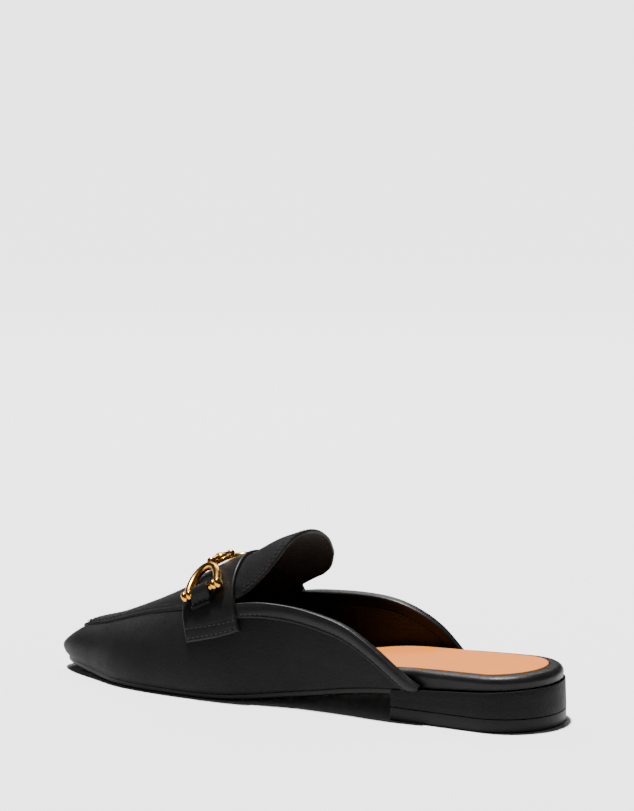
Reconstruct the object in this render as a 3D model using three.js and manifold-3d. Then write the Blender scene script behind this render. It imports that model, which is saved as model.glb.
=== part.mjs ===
// A backless loafer for the right foot, standing empty on its heel and forefoot.
// The toe points along -X and +Z is up, so -Y is the medial side and +Y the lateral side.
// A leather upper with bound collars, a raised apron that runs on as a free tongue, a saddle strap with
// metal rings, a wrapped footbed with a tan sock, a thin outsole and a low stacked heel.
import * as THREE from "three";
import ManifoldModule from "manifold-3d";

// Driving sizes, in millimetres
const LENGTH = 262; // from the back of the heel to the tip of the toe
const BALL_WIDTH = 81; // outline at the ball of the foot
const INSTEP_HEIGHT = 62; // ridge of the upper at the back edge of the saddle strap
const HEEL_HEIGHT = 20.4; // floor to the top of the heel block, at the back
const TOE_SPRING = 3.4; // lift of the sole's tip off the floor
const SOLE_THICKNESS = 2.8;
const SOLE_INSET = 0.9; // how far the outsole's edge stays inside the upper
const SOLE_ROUND = 1.1; // height of the outsole's rounded lower edge
const HEEL_LENGTH = 73;
const LIFT_THICKNESS = 6.3; // top piece that the heel stands on
const LIFT_FLARE = 0.5; // how far the lift stands out past the top of the heel block
const WALL = 1.8; // leather and lining of the upper
const OVERLAY = 1.5; // leather of the apron, tongue and saddle strap
const BINDING = 0.9; // leather folded over the collars
const GAP = 0.3; // between pieces that meet
const FOOTBED_THICKNESS = 8; // wrapped footbed at the front of the heel
const FOOTBED_ROLL = 3.4; // radius of its wrapped top edge
const SOCK_THICKNESS = 1.2;
const SOCK_MARGIN = 6; // from the outline in to the sock, at the heel
const BINDING_WIDTH = 6.4; // folded strip along each side of a collar
const RING_WIRE = 3.2; // thickness of the metal rings
const RING_SPAN = 19.4; // a ring's size along its bar
const RING_REACH = 19; // and from the bar's middle to the outside of the bow
const RING_CORNER = 2.4; // radius of the bends between the bar and the bow
const RING_RISE = 2.2; // clear height of the bow over the strap
const TAB_WIDTH = 9; // leather loop that holds a ring's bar
const TAB_LENGTH = 6; // from the bar down to the tab's stitched end
const TAB_LEATHER = 1.1;
const LINK_RADIUS = 1.3; // metal link that joins the two rings
const ROSETTE_RADIUS = 5; // plain button in its middle
const ROSETTE_HEIGHT = 5;

// How finely the pieces are cut into flat faces
const COLLAR_STEPS = 13;
const THROAT_STEPS = 6;
const VAMP_STEPS = 9;
const TOE_STEPS = 8;
const GIRTH_STEPS = 9;
const APRON_STEPS = 6;
const TONGUE_STEPS = 6;
const STRAP_STEPS = 4;
const PLATE_STEPS = 28;
const RING_STEPS = 10;
const WIRE_SIDES = 8;
const ROSETTE_SIDES = 16;

// Sections of the last. `at` runs from 0 at the back of the heel to 1 at the tip of the toe.
// Shares of BALL_WIDTH: axis is the middle of the outline, half its half-width, ridge the top line.
// Shares of INSTEP_HEIGHT: crest is the height of the ridge. fullness is how square a section is, and
// swell how far its walls stand out past the sole, as a share of the half-width.
const LAST_SECTIONS = [
  { at: 0, axis: 0, half: 0.358, ridge: 0, crest: 1.4, fullness: 2, swell: 0.06 },
  { at: 0.1, axis: 0.002, half: 0.358, ridge: 0, crest: 1.4, fullness: 2, swell: 0.06 },
  { at: 0.2, axis: 0.004, half: 0.351, ridge: 0, crest: 1.4, fullness: 2, swell: 0.06 },
  { at: 0.3, axis: 0.007, half: 0.341, ridge: -0.02, crest: 1.4, fullness: 2, swell: 0.06 },
  { at: 0.4, axis: 0.044, half: 0.352, ridge: -0.03, crest: 1.36, fullness: 2, swell: 0.06 },
  { at: 0.45, axis: 0.064, half: 0.37, ridge: -0.03, crest: 1.31, fullness: 2, swell: 0.06 },
  { at: 0.5, axis: 0.08, half: 0.395, ridge: -0.03, crest: 1.245, fullness: 2, swell: 0.06 },
  { at: 0.55, axis: 0.087, half: 0.44, ridge: -0.02, crest: 1.16, fullness: 2, swell: 0.06 },
  { at: 0.6, axis: 0.089, half: 0.48, ridge: -0.01, crest: 1.035, fullness: 2, swell: 0.06 },
  { at: 0.65, axis: 0.094, half: 0.495, ridge: 0, crest: 0.925, fullness: 2.05, swell: 0.06 },
  { at: 0.7, axis: 0.096, half: 0.496, ridge: 0.015, crest: 0.805, fullness: 2.15, swell: 0.06 },
  { at: 0.75, axis: 0.088, half: 0.476, ridge: 0.03, crest: 0.69, fullness: 2.25, swell: 0.06 },
  { at: 0.8, axis: 0.073, half: 0.44, ridge: 0.04, crest: 0.588, fullness: 2.4, swell: 0.06 },
  { at: 0.85, axis: 0.06, half: 0.383, ridge: 0.04, crest: 0.497, fullness: 2.6, swell: 0.07 },
  { at: 0.9, axis: 0.046, half: 0.309, ridge: 0.04, crest: 0.42, fullness: 3, swell: 0.08 },
  { at: 0.95, axis: 0.034, half: 0.255, ridge: 0.03, crest: 0.375, fullness: 3.15, swell: 0.125 },
  { at: 1, axis: 0.02, half: 0.22, ridge: 0.02, crest: 0.284, fullness: 3.15, swell: 0.09 },
];
const SWELL_DEPTH = 0.7; // under 1 it brings the widest place of a section nearer to the sole
const HEEL_ROUND = 0.1165; // share of the length that the rounded back of the heel takes up
const TOE_ROUND = 0.16; // and the rounded tip of the toe
const APEX = 0.86; // station where the ribs of the toe meet on the ridge
const FAN = 0.3; // share of the way round the outline that the ribs of the toe take up

// The sole. rise is the height of the seat as a share of the heel's. footbed is a thickness as a share
// of FOOTBED_THICKNESS. rim and sock are how far in their edges lie, as shares of SOCK_MARGIN.
const SOLE_SECTIONS = [
  { at: 0, rise: 1, footbed: 0.6, rim: 0.12, sock: 1.3 },
  { at: 0.1, rise: 0.886, footbed: 0.68, rim: 0.35, sock: 1.3 },
  { at: 0.2, rise: 0.773, footbed: 0.86, rim: 0.42, sock: 1.27 },
  { at: 0.25, rise: 0.715, footbed: 0.95, rim: 0.58, sock: 1.16 },
  { at: 0.3, rise: 0.648, footbed: 1, rim: 0.58, sock: 0.94 },
  { at: 0.36, rise: 0.53, footbed: 1, rim: 0.42, sock: 0.64 },
  { at: 0.43, rise: 0.35, footbed: 0.93, rim: 0.36, sock: 0.5 },
  { at: 0.5, rise: 0.185, footbed: 0.78, rim: 0.36, sock: 0.42 },
  { at: 0.58, rise: 0.05, footbed: 0.6, rim: 0.36, sock: 0.42 },
  { at: 0.64, rise: 0, footbed: 0.5, rim: 0.36, sock: 0.42 },
];
const TREAD_BACK = 0.64; // the sole lies flat on the floor between these two stations
const TREAD_FRONT = 0.76;

// Edge of each collar, as a share of the way from the sole up to the ridge.
const TOPLINE = [
  { at: 0.224, medial: 0.012, lateral: 0.03 },
  { at: 0.24, medial: 0.038, lateral: 0.073 },
  { at: 0.27, medial: 0.09, lateral: 0.15 },
  { at: 0.3, medial: 0.146, lateral: 0.206 },
  { at: 0.33, medial: 0.197, lateral: 0.247 },
  { at: 0.37, medial: 0.258, lateral: 0.286 },
  { at: 0.42, medial: 0.315, lateral: 0.317 },
  { at: 0.47, medial: 0.367, lateral: 0.341 },
  { at: 0.52, medial: 0.414, lateral: 0.361 },
  { at: 0.56, medial: 0.453, lateral: 0.38 },
  { at: 0.59, medial: 0.483, lateral: 0.4 },
];
const COLLAR_BACK = 0.224;
const COLLAR_FRONT = 0.59;
const THROAT = 0.628; // station where the two collars meet on the ridge
const BINDING_FRONT = 0.59;
const LINING_START = 0.235; // from here on the binding also turns in over the lining
const LINING_TURN = 0.265; // and from here on by its full width

// Edge of the apron, as a share of the way from the sole up to the ridge.
const APRON_EDGE = [
  { at: 0.592, medial: 0.502, lateral: 0.42 },
  { at: 0.65, medial: 0.522, lateral: 0.468 },
  { at: 0.71, medial: 0.571, lateral: 0.54 },
  { at: 0.78, medial: 0.664, lateral: 0.65 },
  { at: 0.85, medial: 0.742, lateral: 0.742 },
  { at: 0.93, medial: 0.728, lateral: 0.728 },
  { at: 0.975, medial: 0.665, lateral: 0.665 },
  { at: 1, medial: 0.61, lateral: 0.61 },
];
const TONGUE_FRONT = 0.592; // station where the apron runs on as the free tongue

// Free edge of the tongue. girth runs from 0 at the sole over 1 on the ridge to 2 on the other side.
const TONGUE_EDGE = [
  { girth: 0.502, end: 0.592 },
  { girth: 0.533, end: 0.565 },
  { girth: 0.602, end: 0.54 },
  { girth: 0.702, end: 0.523 },
  { girth: 0.849, end: 0.51 },
  { girth: 1, end: 0.492 },
  { girth: 1.15, end: 0.484 },
  { girth: 1.3, end: 0.481 },
  { girth: 1.42, end: 0.486 },
  { girth: 1.494, end: 0.499 },
  { girth: 1.54, end: 0.514 },
  { girth: 1.58, end: 0.592 },
];

// Edges of the saddle strap round the girth. lift is how far it clears the apron, from 0 to 1.
const STRAP_EDGES = [
  { girth: 0.29, back: 0.575, front: 0.677, lift: 0 },
  { girth: 0.32, back: 0.578, front: 0.68, lift: 0 },
  { girth: 0.38, back: 0.583, front: 0.685, lift: 1 },
  { girth: 0.5, back: 0.592, front: 0.694, lift: 1 },
  { girth: 0.62, back: 0.599, front: 0.703, lift: 1 },
  { girth: 0.76, back: 0.602, front: 0.711, lift: 1 },
  { girth: 0.9, back: 0.604, front: 0.717, lift: 1 },
  { girth: 1, back: 0.606, front: 0.72, lift: 1 },
  { girth: 1.1, back: 0.604, front: 0.717, lift: 1 },
  { girth: 1.24, back: 0.6, front: 0.711, lift: 1 },
  { girth: 1.38, back: 0.594, front: 0.703, lift: 1 },
  { girth: 1.5, back: 0.588, front: 0.694, lift: 1 },
  { girth: 1.7, back: 0.575, front: 0.681, lift: 1 },
  { girth: 1.75, back: 0.571, front: 0.677, lift: 0 },
];
const HEM_TILT = 0.022; // how much further up the strap's hem is at its back corner, in girth
const RING_STATION = 0.652; // middle of both rings
const RING_GIRTH = 0.592; // where a ring's bar lies
const RING_SLANT = 0.04; // how much further up its back end is than its front end
const LINK_STATION = 0.662; // where the link crosses the ridge

const { lerp, clamp } = THREE.MathUtils;
const QUARTER_TURN = Math.PI / 2;
const xOf = (at) => LENGTH * (0.5 - at);
const atOf = (x) => 0.5 - x / LENGTH;
const steps = (from, to, count) => Array.from({ length: count + 1 }, (_, i) => lerp(from, to, i / count));

// A smooth curve through one column of a table: a natural cubic spline over another column.
function smoothColumn(table, column, over = "at") {
  const x = table.map((row) => row[over]);
  const y = table.map((row) => row[column]);
  const last = x.length - 1;
  const bend = new Array(last + 1).fill(0);
  const carry = new Array(last + 1).fill(0);
  for (let i = 1; i < last; i++) {
    const before = x[i] - x[i - 1];
    const after = x[i + 1] - x[i];
    const jump = (y[i + 1] - y[i]) / after - (y[i] - y[i - 1]) / before;
    const pivot = 2 * (before + after) - before * carry[i - 1];
    carry[i] = after / pivot;
    bend[i] = (6 * jump - before * bend[i - 1]) / pivot;
  }
  for (let i = last - 1; i > 0; i--) bend[i] -= carry[i] * bend[i + 1];
  return (place) => {
    const p = clamp(place, x[0], x[last]);
    let i = 0;
    while (i < last - 1 && p > x[i + 1]) i++;
    const span = x[i + 1] - x[i];
    const high = (p - x[i]) / span;
    const low = 1 - high;
    const curve = (low ** 3 - low) * bend[i] + (high ** 3 - high) * bend[i + 1];
    return low * y[i] + high * y[i + 1] + (curve * span * span) / 6;
  };
}

// Straight lines between the rows, for columns that must not swing past their values.
function straightColumn(table, column, over = "at") {
  const last = table.length - 1;
  return (place) => {
    const p = clamp(place, table[0][over], table[last][over]);
    let i = 0;
    while (i < last - 1 && p > table[i + 1][over]) i++;
    const share = (p - table[i][over]) / (table[i + 1][over] - table[i][over]);
    return lerp(table[i][column], table[i + 1][column], share);
  };
}

const bySide = (table) => ({ [-1]: smoothColumn(table, "medial"), 1: smoothColumn(table, "lateral") });
const axisShare = smoothColumn(LAST_SECTIONS, "axis");
const halfShare = smoothColumn(LAST_SECTIONS, "half");
const ridgeShare = smoothColumn(LAST_SECTIONS, "ridge");
const crestShare = smoothColumn(LAST_SECTIONS, "crest");
const fullnessAt = smoothColumn(LAST_SECTIONS, "fullness");
const swellAt = smoothColumn(LAST_SECTIONS, "swell");
const riseShare = smoothColumn(SOLE_SECTIONS, "rise");
const footbedShare = straightColumn(SOLE_SECTIONS, "footbed");
const rimShare = straightColumn(SOLE_SECTIONS, "rim");
const sockShare = straightColumn(SOLE_SECTIONS, "sock");
const topline = bySide(TOPLINE);
const apronEdge = bySide(APRON_EDGE);
const tongueEnd = straightColumn(TONGUE_EDGE, "end", "girth");
const strapBack = smoothColumn(STRAP_EDGES, "back", "girth");
const strapFront = smoothColumn(STRAP_EDGES, "front", "girth");
const strapLift = straightColumn(STRAP_EDGES, "lift", "girth");

// Underside of the sole, and the line where the outsole and heel block end and the upper begins.
function soleUnder(at) {
  if (at < TREAD_BACK) return (HEEL_HEIGHT - SOLE_THICKNESS) * Math.max(0, riseShare(at));
  const spring = clamp((at - TREAD_FRONT) / (1 - TREAD_FRONT), 0, 1);
  return TOE_SPRING * spring ** 2;
}
const bedAt = (at) => soleUnder(at) + SOLE_THICKNESS;
const crestAt = (at) => INSTEP_HEIGHT * crestShare(at);
const ridgeAt = (at) => BALL_WIDTH * ridgeShare(at);

// Half-width of the outline, rounded off at both ends.
function halfAt(at) {
  const heel = clamp(1 - at / HEEL_ROUND, 0, 1);
  const toe = clamp((at - (1 - TOE_ROUND)) / TOE_ROUND, 0, 1);
  return BALL_WIDTH * halfShare(at) * Math.sqrt(1 - heel * heel) * Math.sqrt(1 - toe * toe);
}

// A point of the outline in plan, moved in by `inset`. side is -1 for medial and 1 for lateral.
function outline(side, at, inset = 0) {
  const edge = (place) => BALL_WIDTH * axisShare(place) + side * halfAt(place);
  const step = 1e-4;
  const [from, to] = [clamp(at - step, 0, 1), clamp(at + step, 0, 1)];
  const along = new THREE.Vector2(xOf(to) - xOf(from), edge(to) - edge(from)).normalize();
  if (at < step) along.set(0, side);
  if (at > 1 - step) along.set(0, -side);
  return new THREE.Vector2(xOf(at) - side * along.y * inset, edge(at) + side * along.x * inset);
}

// The last's surface. u runs from -1 at the heel along the medial side to 0 at the tip of the toe and
// back to 1 along the lateral side. t is the girth: 0 at the sole, 1 on the ridge, 2 on the other side.
function stationOf(u) {
  const along = Math.abs(u);
  if (along >= FAN) return (APEX * (1 - along)) / (1 - FAN);
  return APEX + (1 - APEX) * Math.cos((along / FAN) * QUARTER_TURN);
}
const placeOf = (side, at) => side * (1 - (at / APEX) * (1 - FAN)); // for stations behind APEX
const sideOf = (u) => (u < 0 ? -1 : 1);

function lastPoint(u, t) {
  if (t > 1) return lastPoint(-u, 2 - t);
  if (t === 1 && u > 0) return lastPoint(-u, 1);
  const at = stationOf(u);
  const head = Math.min(at, APEX);
  const foot = outline(sideOf(u), at);
  const power = 2 / fullnessAt(at);
  const swell = 1 + swellAt(at) * Math.sin(2 * t ** SWELL_DEPTH * QUARTER_TURN);
  const reach = Math.max(0, Math.cos(t * QUARTER_TURN)) ** power * swell;
  const x = lerp(xOf(head), foot.x, reach);
  const y = lerp(ridgeAt(head), foot.y, reach);
  const z = lerp(bedAt(at), crestAt(atOf(x)), Math.sin(t * QUARTER_TURN) ** power);
  return new THREE.Vector3(x, y, z);
}

function lastNormal(u, t) {
  const step = 1e-3;
  if (Math.abs(u) < FAN && t > 1 - 2 * step) return lastNormal(-FAN - step, 1);
  const girth = lastPoint(u, t + step).sub(lastPoint(u, Math.max(0, t - step)));
  const along = lastPoint(u + step, t).sub(lastPoint(u - step, t));
  return girth.cross(along).normalize();
}

// The last's surface with `out` millimetres added all over.
function onLast(u, t, out) {
  if (t > 1) return onLast(-u, 2 - t, out);
  const foot = t === 1 ? -Math.abs(u) : u;
  return lastPoint(foot, t).addScaledVector(lastNormal(foot, t), out);
}

// Millimetres of surface per unit of girth.
function girthSpeed(u, t) {
  const step = 1e-3;
  return lastPoint(u, t + step).distanceTo(lastPoint(u, t)) / step;
}

// Turns triangles of points into a closed geometry that faces out. Corners at one place are merged.
function meshOf(triangles) {
  const index = new Map();
  const points = [];
  const faces = [];
  const idOf = (p) => {
    const key = [p.x, p.y, p.z].map((v) => Math.round(v * 1e4)).join();
    if (!index.has(key)) index.set(key, points.push(p) - 1);
    return index.get(key);
  };
  let volume = 0;
  for (const corners of triangles) {
    const [a, b, c] = corners.map(idOf);
    if (a === b || b === c || a === c) continue;
    faces.push([a, b, c]);
    volume += points[a].dot(new THREE.Vector3().crossVectors(points[b], points[c]));
  }
  const facing = volume > 0 ? faces : faces.map(([a, b, c]) => [a, c, b]);
  const geometry = new THREE.BufferGeometry().setFromPoints(points);
  geometry.setIndex(facing.flat());
  return geometry;
}

const quad = (a, b, c, d) => [
  [a, b, c],
  [a, c, d],
];

// Triangles of a grid of places. Rows run on towards the toe and columns up the girth.
function gridTriangles(rows) {
  const triangles = [];
  for (let i = 0; i + 1 < rows.length; i++) {
    for (let j = 0; j + 1 < rows[i].length; j++) {
      triangles.push(...quad(rows[i][j], rows[i][j + 1], rows[i + 1][j + 1], rows[i + 1][j]));
    }
  }
  return triangles;
}

// A piece of leather on the last: places are [u, t], inner and outer its two faces' heights there.
function leather(triangles, inner, outer) {
  const index = new Map();
  const places = [];
  const idOf = ([u, t]) => {
    const p = lastPoint(u, t);
    const key = [p.x, p.y, p.z].map((v) => Math.round(v * 1e3)).join();
    if (!index.has(key)) index.set(key, places.push([u, t]) - 1);
    return index.get(key);
  };
  const faces = triangles.map((corners) => corners.map(idOf));
  const whole = faces.filter(([a, b, c]) => a !== b && b !== c && a !== c);
  const front = places.map(([u, t]) => onLast(u, t, outer(t)));
  const back = places.map(([u, t]) => onLast(u, t, inner(t)));
  const edges = new Set(whole.flatMap(([a, b, c]) => [`${a} ${b}`, `${b} ${c}`, `${c} ${a}`]));
  const solid = [];
  for (const [a, b, c] of whole) {
    solid.push([front[a], front[b], front[c]], [back[a], back[c], back[b]]);
    const open = [[a, b], [b, c], [c, a]].filter(([from, to]) => !edges.has(`${to} ${from}`));
    for (const [from, to] of open) solid.push(...quad(front[to], front[from], back[from], back[to]));
  }
  return meshOf(solid);
}

// Places along u for ribs that start at given stations of the medial side, go round the toe and come
// back down the lateral side.
function roundTheToe(stations) {
  const medial = stations.map((at) => placeOf(-1, at));
  const toe = steps(-FAN, FAN, 2 * TOE_STEPS).slice(1, -1);
  return [...medial, ...toe, ...medial.map((u) => -u).reverse()];
}

// Upper. Its own edge lies one binding below the finished collar.
function collarEdge(side, at) {
  const finished = topline[side](at);
  return Math.max(0, finished - (GAP + BINDING) / girthSpeed(placeOf(side, at), finished));
}

function upperEdge(side, at) {
  if (at > THROAT - 1e-6) return 1;
  const past = clamp((at - COLLAR_FRONT) / (THROAT - COLLAR_FRONT), 0, 1);
  return 1 - (1 - collarEdge(side, at)) * Math.sqrt(1 - past * past);
}

function makeUpper() {
  const collar = steps(COLLAR_BACK, COLLAR_FRONT, COLLAR_STEPS);
  const throat = steps(0, QUARTER_TURN, THROAT_STEPS).map((angle) => {
    return COLLAR_FRONT + (THROAT - COLLAR_FRONT) * Math.sin(angle);
  });
  const vamp = steps(THROAT, APEX, VAMP_STEPS);
  const places = roundTheToe([...collar, ...throat.slice(1), ...vamp.slice(1)]);
  const ribs = places.map((u) => {
    return steps(0, upperEdge(sideOf(u), stationOf(u)), GIRTH_STEPS).map((t) => [u, t]);
  });
  return leather(gridTriangles(ribs), () => -WALL, () => 0);
}

// Apron and tongue
const APRON_TOP = GAP + OVERLAY;

function makeApron() {
  const places = roundTheToe(steps(TONGUE_FRONT, APEX, VAMP_STEPS));
  const ribs = places.map((u) => {
    return steps(apronEdge[sideOf(u)](stationOf(u)), 1, APRON_STEPS).map((t) => [u, t]);
  });
  const medial = steps(apronEdge[-1](TONGUE_FRONT), 1, APRON_STEPS);
  const lateral = steps(1, 2 - apronEdge[1](TONGUE_FRONT), APRON_STEPS).slice(1);
  const tongue = steps(1, 0, TONGUE_STEPS).map((share) => {
    return [...medial, ...lateral].map((t) => {
      return [placeOf(-1, lerp(TONGUE_FRONT, tongueEnd(t), share)), t];
    });
  });
  return leather([...gridTriangles(ribs), ...gridTriangles(tongue)], () => GAP, () => APRON_TOP);
}

// Saddle strap
const STRAP_TOP = APRON_TOP + GAP + OVERLAY;

// 1 at either hem of the strap, falling to 0 where it reaches the apron.
function hemNearness(t) {
  const [near, far] = [STRAP_EDGES[0].girth, STRAP_EDGES[STRAP_EDGES.length - 1].girth];
  return Math.max(0, (0.5 - t) / (0.5 - near), (t - 1.5) / (far - 1.5));
}

function makeStrap() {
  const girths = STRAP_EDGES.flatMap((row, i) => {
    return i === 0 ? [row.girth] : steps(STRAP_EDGES[i - 1].girth, row.girth, 2).slice(1);
  });
  const rows = steps(0, 1, STRAP_STEPS).map((share) => {
    return girths.map((t) => {
      const tilt = HEM_TILT * (1 - share) * hemNearness(t);
      return [placeOf(-1, lerp(strapBack(t), strapFront(t), share)), t + tilt * Math.sign(1 - t)];
    });
  });
  const under = (t) => lerp(GAP, APRON_TOP + GAP, strapLift(t));
  return leather(gridTriangles(rows), under, (t) => under(t) + OVERLAY);
}

// Sides of a closed profile carried along a row of places: each entry of `loops` is its points at one.
function sweepSides(loops) {
  const triangles = [];
  const count = loops[0].length;
  for (let i = 0; i + 1 < loops.length; i++) {
    for (let k = 0; k < count; k++) {
      const next = (k + 1) % count;
      triangles.push(...quad(loops[i][k], loops[i][next], loops[i + 1][next], loops[i + 1][k]));
    }
  }
  return triangles;
}

// A profile with at most one hole, carried along a row of places. place(i, x, y) puts a point of the
// profile at the i-th place. The outer contour runs anticlockwise and the hole clockwise.
function sweep(count, contourAt, hole, place) {
  const contours = Array.from({ length: count }, (_, i) => contourAt(i));
  const loops = contours.map((contour, i) => contour.map((p) => place(i, p.x, p.y)));
  const holes = contours.map((_, i) => hole.map((p) => place(i, p.x, p.y)));
  const caps = THREE.ShapeUtils.triangulateShape(contours[0], hole.length ? [hole] : []);
  const [first, last] = [0, count - 1].map((i) => [...loops[i], ...holes[i]]);
  const ends = caps.flatMap(([a, b, c]) => [
    [first[a], first[c], first[b]],
    [last[a], last[b], last[c]],
  ]);
  return meshOf([...ends, ...sweepSides(loops), ...(hole.length ? sweepSides(holes) : [])]);
}

// Collar bindings, folded over the edge of the upper. x is out from the last and y up past the edge.
function bindingContour(at) {
  const turned = clamp((at - LINING_START) / (LINING_TURN - LINING_START), 0, 1);
  const inside = lerp(BINDING, BINDING_WIDTH, turned);
  const skin = GAP + BINDING;
  const fold = GAP + BINDING / 2;
  return [
    [skin, -BINDING_WIDTH],
    [skin, GAP],
    [fold, skin],
    [-WALL - fold, skin],
    [-WALL - skin, GAP],
    [-WALL - skin, -inside],
    [-WALL - GAP, -inside],
    [-WALL - GAP, GAP],
    [GAP, GAP],
    [GAP, -BINDING_WIDTH],
  ].map(([x, y]) => new THREE.Vector2(x, y));
}

function makeBinding(side) {
  const stations = steps(COLLAR_BACK, BINDING_FRONT, COLLAR_STEPS + 2);
  return sweep(stations.length, (i) => bindingContour(stations[i]), [], (i, x, y) => {
    const u = placeOf(side, stations[i]);
    const edge = collarEdge(side, stations[i]);
    return onLast(u, Math.max(0, edge + y / girthSpeed(u, edge)), x);
  });
}

// Footbed, sock, sole and heel. A plate is a stack of outlines over the same stations, lowest first.
function plate(stations, levels) {
  const edge = (side) => levels.map((level) => stations.map((at) => level(side, at)));
  const [medial, lateral] = [edge(-1), edge(1)];
  const top = levels.length - 1;
  const end = stations.length - 1;
  const triangles = [];
  for (let k = 0; k < top; k++) {
    const [low, high] = [medial[k], medial[k + 1]];
    const [lowFar, highFar] = [lateral[k], lateral[k + 1]];
    for (let i = 0; i < end; i++) {
      triangles.push(...quad(low[i + 1], low[i], high[i], high[i + 1]));
      triangles.push(...quad(lowFar[i], lowFar[i + 1], highFar[i + 1], highFar[i]));
    }
    triangles.push(...quad(low[0], lowFar[0], highFar[0], high[0]));
    triangles.push(...quad(lowFar[end], low[end], high[end], highFar[end]));
  }
  for (let i = 0; i < end; i++) {
    triangles.push(...quad(medial[0][i], medial[0][i + 1], lateral[0][i + 1], lateral[0][i]));
    triangles.push(...quad(medial[top][i + 1], medial[top][i], lateral[top][i], lateral[top][i + 1]));
  }
  return meshOf(triangles);
}

// Stations from one place to another, closer together where the outline is rounded.
function plateStations(from, to, count) {
  const roundBack = from < HEEL_ROUND;
  const roundFront = to > 1 - TOE_ROUND;
  return steps(0, 1, count).map((share) => {
    if (roundBack && roundFront) return lerp(from, to, 0.5 - 0.5 * Math.cos(share * Math.PI));
    if (roundBack) return lerp(from, to, 1 - Math.cos(share * QUARTER_TURN));
    return lerp(from, to, Math.sin(share * QUARTER_TURN));
  });
}

function level(inset, height) {
  return (side, at) => {
    const p = outline(side, at, inset(at));
    return new THREE.Vector3(p.x, p.y, height(at));
  };
}

const HEEL_BREAST = HEEL_LENGTH / LENGTH;
const rimInset = (at) => SOCK_MARGIN * rimShare(at);
const footbedTop = (at) => bedAt(at) + FOOTBED_THICKNESS * footbedShare(at);

function makeFootbed() {
  const radius = (at) => Math.min(FOOTBED_ROLL, 0.8 * FOOTBED_THICKNESS * footbedShare(at) - GAP);
  const roll = (angle) => {
    const inset = (at) => rimInset(at) + radius(at) * (1 - Math.cos(angle));
    return level(inset, (at) => footbedTop(at) - radius(at) * (1 - Math.sin(angle)));
  };
  return plate(plateStations(0, 0.985, PLATE_STEPS), [
    level(rimInset, (at) => bedAt(at) + GAP),
    ...steps(0, QUARTER_TURN, 3).map(roll),
  ]);
}

function makeSock() {
  const inset = (at) => SOCK_MARGIN * sockShare(at);
  return plate(plateStations(0, 0.97, PLATE_STEPS), [
    level(inset, (at) => footbedTop(at) + GAP),
    level(inset, (at) => footbedTop(at) + GAP + SOCK_THICKNESS),
  ]);
}

function makeOutsole() {
  const inset = () => SOLE_INSET;
  return plate(plateStations(HEEL_BREAST + GAP / LENGTH, 1, PLATE_STEPS), [
    level(() => SOLE_INSET + 2 * SOLE_ROUND, soleUnder),
    level(() => SOLE_INSET + SOLE_ROUND / 2, (at) => soleUnder(at) + SOLE_ROUND / 2),
    level(inset, (at) => soleUnder(at) + SOLE_ROUND),
    level(inset, (at) => bedAt(at) - GAP),
  ]);
}

const HEEL_STATIONS = plateStations(0, HEEL_BREAST, PLATE_STEPS / 2);

function makeHeelBlock() {
  return plate(HEEL_STATIONS, [
    level(() => -LIFT_FLARE, () => LIFT_THICKNESS + GAP),
    level(() => 0, bedAt),
  ]);
}

function makeLift() {
  return plate(HEEL_STATIONS, [
    level(() => -LIFT_FLARE, () => 0),
    level(() => -LIFT_FLARE, () => LIFT_THICKNESS),
  ]);
}

// Rings, each in its own plane: x along the bar, y to the bow, z out from the strap
const WIRE_RADIUS = RING_WIRE / 2;
const BAR_CLEARANCE = TAB_LEATHER + GAP + WIRE_RADIUS; // from a tab's underside to the bar's middle
const BAR_HEIGHT = STRAP_TOP + GAP + BAR_CLEARANCE; // over the last's surface
const LINK_HEIGHT = STRAP_TOP + RING_RISE + WIRE_RADIUS;

// Where a point beside the bar lies on the last: forward from its middle, and up the girth from it.
function besideBar(side, forward, up) {
  const u = placeOf(side, RING_STATION + forward / LENGTH);
  const girth = RING_GIRTH - (RING_SLANT * forward) / RING_SPAN;
  return [u, girth + up / girthSpeed(u, girth)];
}

function ringFrame(side) {
  const half = RING_SPAN / 2;
  const middle = onLast(...besideBar(side, 0, 0), BAR_HEIGHT);
  const front = onLast(...besideBar(side, half, 0), BAR_HEIGHT);
  const back = onLast(...besideBar(side, -half, 0), BAR_HEIGHT);
  const x = front.sub(back).normalize();
  const y = onLast(...besideBar(side, 0, RING_REACH), LINK_HEIGHT).sub(middle);
  y.addScaledVector(x, -y.dot(x)).normalize();
  const out = x.clone().cross(y).multiplyScalar(side);
  return new THREE.Matrix4().makeBasis(x, y, out).setPosition(middle);
}

function ringPath() {
  const half = RING_SPAN / 2 - WIRE_RADIUS;
  const bow = RING_REACH - WIRE_RADIUS - RING_CORNER;
  const bend = steps(-QUARTER_TURN, 0, 3).map((angle) => [
    half + RING_CORNER * (Math.cos(angle) - 1),
    RING_CORNER * (Math.sin(angle) + 1),
  ]);
  const arc = steps(0, 2 * QUARTER_TURN, RING_STEPS).map((angle) => [
    half * Math.cos(angle),
    RING_CORNER + bow * Math.sin(angle),
  ]);
  const mirrored = bend.map(([x, y]) => [-x, y]).reverse();
  return [...bend, ...arc.slice(1, -1), ...mirrored].map(([x, y]) => new THREE.Vector2(x, y));
}

function makeRing(side) {
  const path = ringPath();
  const frame = ringFrame(side);
  const loops = path.map((p, i) => {
    const after = path[(i + 1) % path.length];
    const before = path[(i + path.length - 1) % path.length];
    const along = after.clone().sub(before).normalize();
    return steps(0, 4 * QUARTER_TURN, WIRE_SIDES).slice(1).map((angle) => {
      const across = WIRE_RADIUS * Math.cos(angle);
      const out = WIRE_RADIUS * Math.sin(angle);
      const point = new THREE.Vector3(p.x + along.y * across, p.y - along.x * across, out);
      return point.applyMatrix4(frame);
    });
  });
  return meshOf(sweepSides([...loops, loops[0]]));
}

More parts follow.
